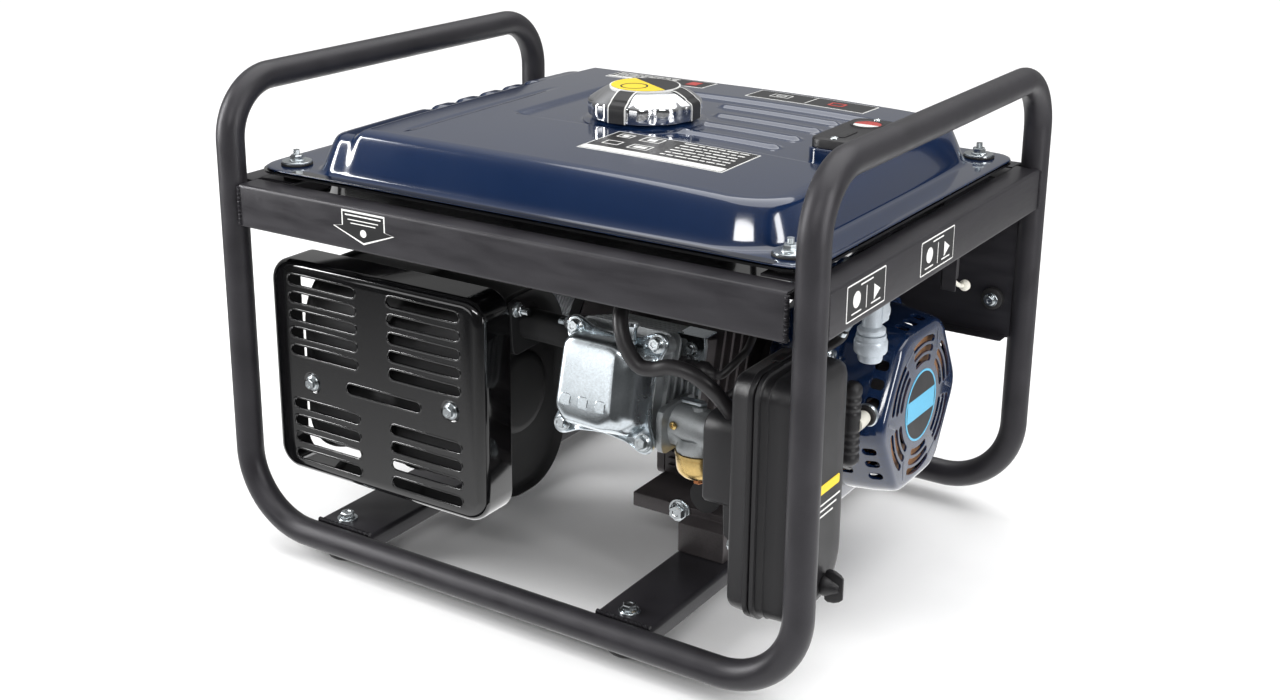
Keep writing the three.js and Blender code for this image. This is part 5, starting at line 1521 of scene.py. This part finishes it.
# ---------- fuel valve, choke lever ----------
def make_fuel_valve():
    x, y = 262.0, -60.0
    body = [(0, 268.6), (11.2, 268.6), (11.8, 270), (11.8, 273), (10.4, 274.4), (8.4, 275.5), (7.8, 284),
            (8.2, 297),
            (10.6, 299), (10.8, 303), (8.6, 305), (7.6, 326), (6.8, 330), (0, 330)]
    casting = revolve(body, "z", (x, y, 0), 48)
    cheeks = [prism(rounded((x - 8.5, x + 8.5), (276, 299), 3), "y", y + 2, y + 15.5),
              prism(circle(8.8, 40, x, 284), "y", y + 10, y + 17)]
    elbow = smooth_path([(x - 4, y, 290), (x - 16, y + 1, 284), (x - 25.8, y + 3, 268)], 10, 8)
    spout = sweep(elbow, np.linspace(7.2, 5.2, len(elbow)), 28)
    union = sweep([(x - 26, y, 322), (x - 18, y, 322), (x, y, 322)], [7.4, 7.2, 6.6], 24)
    piece("valve_casting", merged(casting, spout, union), "alloy", stands_for=["fuel_valve_body"], angle=40)
    piece("valve_cheek", merged(*cheeks), "alloy", bevel=0.8, segments=3)
    cup = [(0, 244), (8, 244), (9.4, 244.8), (10.2, 246.5), (10.4, 251), (13, 252.4), (13.9, 254.2),
           (14, 262),
           (13.4, 263.6), (12.6, 264.2), (12.6, 268.2), (0, 268.2)]
    piece("cup_body", revolve(cup, "z", (x, y, 0), 48), "alloy", stands_for=["sediment_cup"], angle=35,
          slot="zinc")
    arm = [on_plane(slot_outline(0, 0, 13, 3.6), "z", 279), on_plane(slot_outline(0, 0, 12, 3.4), "z", 292),
           on_plane(slot_outline(0, 0, 9.4, 3.0), "z", 306),
           on_plane(slot_outline(0, 0, 8, 2.4), "z", 309.5)]
    lever = shifted(loft(arm), (x, y + 19.2, 0))
    hub = prism(circle(7, 40, x, 284), "y", y + 17.2, y + 21.4)
    pad = loft([on_plane(rounded((x - 5.4, x + 5.4), (y + 17.4, y + 23), 2.2), "z", 301),
                on_plane(rounded((x - 5, x + 5), (y + 17.4, y + 23), 2.2), "z", 309.8)])
    piece("valve_handle", merged(lever, hub, pad), "alloy", body="fuel_lever",
          stands_for=["fuel_valve_lever"],
          bevel=0.5, segments=2, angle=35)
    hose = spline_path([(x - 25, y + 3, 269), (x - 30, y + 3, 256), (214, -70, 244), (196, -96, 240),
                        (180, -118, 226), (166, -132, 212)], 10)
    piece("fuel_hose", sweep(hose, 4.2, 20), "hose", angle=60)
    band = sweep([(x - 27.2, y + 3, 264.5), (x - 28.6, y + 3, 261)], 5.1, 28)
    piece("fuel_hose_clip", band, "zinc", angle=40)


def make_choke_lever():
    x, y, z = 272, 84, 279
    pivot = revolve([(0, -1.6), (5.8, -1.6), (5.8, 1.4), (4.6, 2), (0, 2)], "x", (x, y, z), 32)
    path = spline_path([(x + 0.6, y, z), (x + 1, y + 6, z - 4.5), (x + 2, y + 14, z - 9.4),
                        (x + 3, y + 21, z - 11.5)], 8)
    bar = sweep(path, np.linspace(2.1, 1.9, len(path)), 20)
    ball = revolve([(0, -5.1), (2.3, -4.6), (4.1, -3.2), (5.1, -1.2), (5.1, 1.2), (4.1, 3.2), (2.3, 4.6),
                    (0, 5.1)], "y",
                   (x + 3.5, y + 24, z - 12), 32)
    piece("choke_arm", merged(pivot, bar), "cream", body="choke", stands_for=["choke_lever"], angle=45)
    piece("choke_knob", ball, "cream", body="choke", angle=70)


# ---------- alternator ----------
def make_adapter():
    at = (0, CRANK[1], CRANK[2])
    x0 = -60.0
    profile = [(83, x0), (87.4, x0), (88, x0 + 0.8), (88, -5), (87.4, -1.5), (85.4, 1.2), (66, 26),
               (64, 28.4), (64, 36.7), (58, 36.7), (58, 26), (83, -4), (83, x0)]
    vents = []
    for k in range(12):
        slot = prism(slot_outline(-30, 0, 40, 13), "z", 70, 100)
        spun, _ = turned(slot, "X", k * 30 + 15)
        vents.append((spun + np.array(at), slot[1]))
    piece("adapter_bell", revolve(profile, "x", at, 96), "cast_grey", stands_for=["alternator_adapter"],
          cutters=vents,
          bevel=0.7, segments=2, angle=35)
    plate = loft([on_plane(rounded((-14, 81), (66, 150), 8), "x", x) for x in (28.4, 36.6)])
    hole = revolve([(0, 20), (57, 20), (57, 44), (0, 44)], "x", at, 72)
    piece("adapter_plate", plate, "cast_grey", cutters=[hole], bevel=0.8)


def make_stator():
    at = (0, CRANK[1], CRANK[2])
    x0, x1 = -170.0, -60.3
    count = 34
    pitch = (x1 - x0) / count
    outside = [(58, x0)]
    for k in range(count):
        a = x0 + k * pitch
        outside += [(86.9, a + 0.1), (87.9, a + 0.5), (87.9, a + pitch - 0.9), (86.9, a + pitch - 0.4)]
    outside += [(58, x1), (58, x0)]
    piece("stator_stack", revolve(outside, "x", at, 96), "steel", stands_for=["alternator_stator"],
          angle=25)
    for k in range(4):
        t = math.radians(45 + k * 90)
        y, z = CRANK[1] + 84.6 * math.cos(t), CRANK[2] + 84.6 * math.sin(t)
        rod_mesh = revolve([(0, 0), (3, 0), (3, x1 - x0 - 1), (0, x1 - x0 - 1)], "x", (x0 + 0.5, y, z), 20)
        piece(f"stator_stud_{k}", rod_mesh, "bolt")
    for end, x in (("left", x0 + 6), ("right", x1 - 6)):
        band = [(84, x - 5.5), (87.98, x - 5.5), (87.98, x + 5.5), (84, x + 5.5), (84, x - 5.5)]
        piece(f"stator_band_{end}", revolve(band, "x", at, 96), "heat_black")
    coil = []
    for k in range(24):
        t = 2 * math.pi * k / 24
        path = []
        for s in np.linspace(0, math.pi, 9):
            r = 66 + 9 * math.sin(s)
            a = t + 0.16 * (s / math.pi - 0.5) * 2
            path.append((x0 - 12 * math.sin(s) + 1, CRANK[1] + r * math.cos(a), CRANK[2] + r * math.sin(a)))
        coil.append(sweep(path, 3.6, 8))
    piece("coil_ends", merged(*coil), "copper", angle=60)


def make_end_cover():
    lo, hi = span("alternator_end_cover")
    at = (0, CRANK[1], CRANK[2])
    x1, x0 = hi[0], lo[0]
    profile = [(84, x1), (87.4, x1), (88, x1 - 0.8), (88, x1 - 20), (87, x1 - 23), (84.5, x1 - 27),
               (79, x1 - 34.5),
               (70, x1 - 40.2), (60, x1 - 43.2), (54, x1 - 43.8), (34, x1 - 43.8), (32.5, x1 - 42.6),
               (24, x1 - 42.6),
               (22.6, x1 - 43.9), (11.2, x1 - 43.9), (10.6, x1 - 43.2), (10.6, x1 - 38), (56, x1 - 38),
               (78, x1 - 29), (84, x1 - 18), (84, x1)]
    vents = []
    for k in range(14):
        slot = prism(slot_outline(0, 60, 28, 7, 90), "x", x0 - 4, x0 + 18)
        spun, _ = turned(slot, "X", k * 360 / 14)
        vents.append((spun + np.array(at), slot[1]))
    piece("end_bell", revolve(profile, "x", at, 96), "cast_light", stands_for=["alternator_end_cover"],
          cutters=vents,
          bevel=0.6, segments=2, angle=35)
    leg = loft([on_plane([(3, 35.4), (119, 35.4), (112, 104), (10, 104)], "x", x) for x in (-210, -192.6)])
    bell_hole = revolve([(0, -220), (84.6, -220), (84.6, -180), (0, -180)], "x", at, 72)
    arch = prism(rounded((30, 92), (20, 64), 14), "x", -216, -186)
    piece("end_legs", leg, "cast_light", cutters=[bell_hole, arch], bevel=1.4)
    for k in range(4):
        t = math.radians(45 + k * 90)
        y, z = CRANK[1] + 81 * math.cos(t), CRANK[2] + 81 * math.sin(t)
        boss = revolve([(0, 0), (7, 0), (7, 20), (0, 20)], "x", (x0 + 10.5, y, z), 28)
        piece(f"end_boss_{k}", boss, "cast_light", bevel=0.6)
        piece(f"end_bolt_{k}", hex_bolt((x0 + 10.5, y, z), "x", 4.6, 6.4, 4.6, sign=-1), "bolt", angle=28)
    for y in (16, 106):
        piece(f"leg_bolt_{'front' if y < 60 else 'rear'}", hex_bolt((-201.4, y, 33.0), "z", 5, 7, 1.5),
              "bolt", angle=28)


# ---------- control panel ----------
PANEL_Y = 222.0


def make_panel():
    lo, hi = span("control_panel")
    x, z = (lo[0], hi[0]), (lo[2], hi[2])
    plate = loft([on_plane(rounded((x[0], x[1] + 4), z, 4), "y", y) for y in (220, PANEL_Y)])
    flange = block(x, (206.2, PANEL_Y - 0.2), (z[0], z[0] + 1.8))
    holes = [prism(circle(23, 48, cx, 260), "y", 214, 226) for cx in (66, 140)]
    holes += [prism(circle(19.5, 48, 214, 280), "y", 214, 226),
              prism(circle(7, 32, -6, 232), "y", 214, 226)]
    holes.append(prism(rounded((-15.5, 3.5), (271.5, 300.5), 1.5), "y", 214, 226))
    piece("panel_plate", plate, "sheet", stands_for=["control_panel"], cutters=holes, bevel=0.4, segments=2)
    piece("panel_flange", flange, "sheet", bevel=0.5, segments=2)
    for k, (bx, bz) in enumerate(((-32, 192), (263, 222), (-32, 332), (268, 332))):
        pad = revolve([(0, 0), (9.5, 0), (10, 1.2), (9.5, 2.6), (0, 2.6)], "y", (bx, PANEL_Y, bz), 36)
        piece(f"panel_pad_{k}", pad, "rubber", angle=40)
        piece(f"panel_bolt_{k}", hex_bolt((bx, PANEL_Y + 2.6, bz), "y", 4.4, 7, 4.4), "bolt", angle=28)
    make_outlets()
    make_meter()
    make_switches()


def make_outlets():
    for name, cx in (("left", 66.0), ("right", 140.0)):
        at = (cx, 0, 260)
        face = loft([on_plane(rounded((cx - 29 + i, cx + 29 - i), (231 + i, 289 - i), 8 - i * 0.7), "y", y)
                     for i, y in ((0, 222.3), (0, 226.5), (0.8, 228.6), (2.6, 229.8))])
        well = revolve([(0, 214), (19.6, 214), (20.2, 232), (0, 232)], "y", at, 64)
        piece(f"outlet_face_{name}", face, "plastic", stands_for=[f"outlet_{name}"], cutters=[well],
              angle=35, bevel=0.4)
        cup = [(22, 198.2), (22, 222.2), (20, 222.2), (20, 214.2), (0, 214.2), (0, 198.2)]
        pins = [prism(circle(2.6, 20, cx + dx, 260), "y", 200, 216) for dx in (-9.5, 9.5)]
        piece(f"outlet_well_{name}", revolve(cup, "y", at, 64), "plastic", cutters=pins, angle=35)
        clips = [block((cx - 2.4, cx + 2.4), (214.3, 227.5), (260 + s * 19.3 - 0.7, 260 + s * 19.3 + 0.7))
                 for s in (-1, 1)]
        piece(f"outlet_clips_{name}", merged(*clips), "zinc", bevel=0.3, segments=2)
        rim = [(20.3, 229.2), (23.6, 229.2), (24.4, 229.9), (23.4, 230), (21, 230), (20.3, 229.2)]
        piece(f"outlet_rim_{name}", revolve(rim, "y", at, 64), "ink")


def make_meter():
    at = (214, 0, 280)
    bezel = [(20.6, 222.3), (23.6, 222.3), (24, 223), (24, 228), (23, 229.6), (21.8, 230), (20.6, 229.2),
             (20.2, 226),
             (20.2, 225.3), (0, 225.3), (0, 200.2), (18.8, 200.2), (18.8, 222.3)]
    piece("meter_case", revolve(bezel, "y", at, 72), "plastic", stands_for=["voltmeter_body"], angle=40)
    dial = revolve([(0, 225.2), (19.9, 225.2), (19.9, 225.5), (0, 225.5)], "y", at, 64)
    piece("meter_dial", dial, "white")
    ticks = []
    for k in range(11):
        t = 50 - k * 10
        long = 4.2 if k % 5 == 0 else 2.6
        tick = block((213.6, 214.4), (225.4, 225.62), (280 + 17 - long, 280 + 17))
        ticks.append(turned(tick, "Y", t, about=(214, 0, 280)))
    piece("meter_ticks", merged(*ticks), "ink")
    hub = revolve([(0, 225.7), (2.5, 225.7), (2.4, 226.8), (0, 227.2)], "y", at, 28)
    pointer = prism([(213.3, 279), (214.7, 279), (214.15, 295), (213.85, 295)], "y", 225.9, 226.6)
    piece("meter_needle", merged(hub, pointer), "red", body="needle", stands_for=["voltmeter_needle"])


def make_switches():
    bezel = prism(rounded((-17.5, 5.5), (269.5, 302.5), 3), "y", PANEL_Y + 0.05, PANEL_Y + 1.8)
    inner = prism(rounded((-15.2, 3.2), (271.8, 300.2), 1.5), "y", PANEL_Y - 2, PANEL_Y + 4)
    piece("switch_bezel", bezel, "plastic", cutters=[inner], bevel=0.5)
    front = [(216.2, -13.6), (224.0, -13.6), (229, -10.4), (228.6, -8), (225.6, 0), (225.2, 3),
             (226.0, 12.8), (225, 13.6), (216.2, 13.6)]
    rocker = prism(np.array(front) + [0, 286], "x", -14.4, 2.4)
    piece("switch_rocker", rocker, "red", body="rocker", stands_for=["engine_switch"], bevel=0.7)
    nut = [(7.4, 222.1), (10.6, 222.1), (10.6, 224), (9.4, 225), (7.4, 225), (7.4, 222.1)]
    piece("breaker_nut", revolve(nut, "y", (-6, 0, 232), 6), "plastic", angle=30)
    button = [(0, 208.2), (7.8, 208.2), (7.8, 212), (6.3, 212), (6.3, 229), (5.4, 230.6), (3.6, 231),
              (0, 230.6)]
    piece("breaker_cap", revolve(button, "y", (-6, 0, 232), 40), "plastic", body="button",
          stands_for=["breaker_button"],
          angle=40)
    for name, bx, material in (("plus", 200, "red"), ("minus", 224, "plastic")):
        post = [(0, 222.1), (7, 222.1), (7, 224), (5.2, 225), (5.2, 233), (6.6, 234), (6.6, 238.4),
                (5.6, 239.4), (0, 239.6)]
        piece(f"terminal_{name}", revolve(post, "y", (bx, 0, 222), 24), material, angle=30)
    earth = hex_bolt((20, PANEL_Y, 204), "y", 5.6, 9, 5, stud=6)
    piece("earth_terminal", earth, "brass", angle=28)


# ---------- printed signs on the rails ----------
def plate_on(axis, level, out, outline, thick=0.18):
    near, far = sorted((level - 0.3 * out, level + thick * out))
    return prism(outline, axis, near, far)


def make_rail_signs():
    y = span("upper_rail_front")[0][1]
    x, z = -128.0, 337.0
    shape = np.array([(0, -14.5), (34, -2), (24, 0), (24, 14), (-24, 14), (-24, 0), (-34, -2)])
    piece("arrow_edge", plate_on("y", y, -1, shape + [x, z], 0.16), "white")
    field = shape * (0.945, 0.88) + [x, z]
    piece("arrow_field", plate_on("y", y, -1, field, 0.3), "ink")
    marks = [rounded((x - 20, x + 20), (z + 9.4, z + 10.6), 0.5, 3),
             rounded((x - 17, x + 17), (z + 5.6, z + 6.4), 0.4, 3),
             rounded((x - 14, x + 14), (z + 2.6, z + 3.4), 0.4, 3), circle(3.4, 24, x, z - 4.5)]
    piece("arrow_print", merged(*[plate_on("y", y, -1, mark, 0.42) for mark in marks]), "white")
    out_x = span("upper_rail_right")[1][0]
    for name, y0, y1 in (("a", -190, -122), ("b", -54, 14)):
        edge = rounded((y0, y1), (321, 350), 1.5, 4)
        piece(f"sign_{name}_edge", plate_on("x", out_x, 1, edge, 0.16), "white")
        field = rounded((y0 + 1.2, y1 - 1.2), (322.2, 348.8), 0.8, 4)
        piece(f"sign_{name}_field", plate_on("x", out_x, 1, field, 0.3), "ink")
        middle = (y0 + y1) / 2
        marks = [rounded((middle - 0.5, middle + 0.5), (325, 343), 0.4, 2),
                 slot_outline(middle, 346.0, 22, 1.2),
                 circle(6.5, 32, middle - 17, 336), circle(7.5, 3, middle + 17, 334)]
        marks += [slot_outline(middle + side, 326, 17, 1.2) for side in (-17, 17)]
        piece(f"sign_{name}_print", merged(*[plate_on("x", out_x, 1, mark, 0.42) for mark in marks]),
              "white")


def make_panel_mount():
    """A rubber mount between the panel and the frame, seen from inside."""
    at = (263, 0, 222)
    pad = [(0, 219.8), (10, 219.8), (11, 218.6), (10.6, 214.6), (9, 213.4), (0, 213.4)]
    piece("mount_pad", revolve(pad, "y", at, 36), "rubber", angle=40)
    piece("mount_bolt", hex_bolt((263, 213.2, 222), "y", 4.6, 6.8, 4.4, sign=-1), "bolt", angle=28)


# ---------- CAD shapes that stay ----------
KEPT = {
    "cap_gasket": "rubber", "fuel_strainer": "steel", "fuel_gauge_float": "foam", "crankshaft": "steel",
    "camshaft": "steel", "piston": "cast_light", "starter_pulley": "plastic", "flywheel": "cast_light",
    "alternator_rotor": "steel", "air_filter_element": "foam", "cylinder_head": "cast_light",
}


def finish_kept_nodes():
    for node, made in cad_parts.items():
        material = KEPT.get(node)
        if material:
            made.data.materials.clear()
            made.data.materials.append(MATERIALS[material])


# ---------- everything ----------
MATERIALS = make_materials()
make_camera()
make_studio()
make_frame()
make_rails()
make_base()
make_tank_top()
make_tank_labels()
make_tank_fittings()
make_tank_bottom()
make_pan_rim()
make_cap()
make_gauge()
make_guard()
make_muffler()
make_exhaust()
make_valve_cover()
make_head()
make_crankcase()
make_carburettor()
make_hoses()
make_filter()
make_duct()
make_recoil_cover()
make_fan_housing()
make_rope_guide()
make_grip()
make_fuel_valve()
make_choke_lever()
make_adapter()
make_stator()
make_end_cover()
make_panel()
make_panel_mount()
make_rail_signs()
finish_kept_nodes()
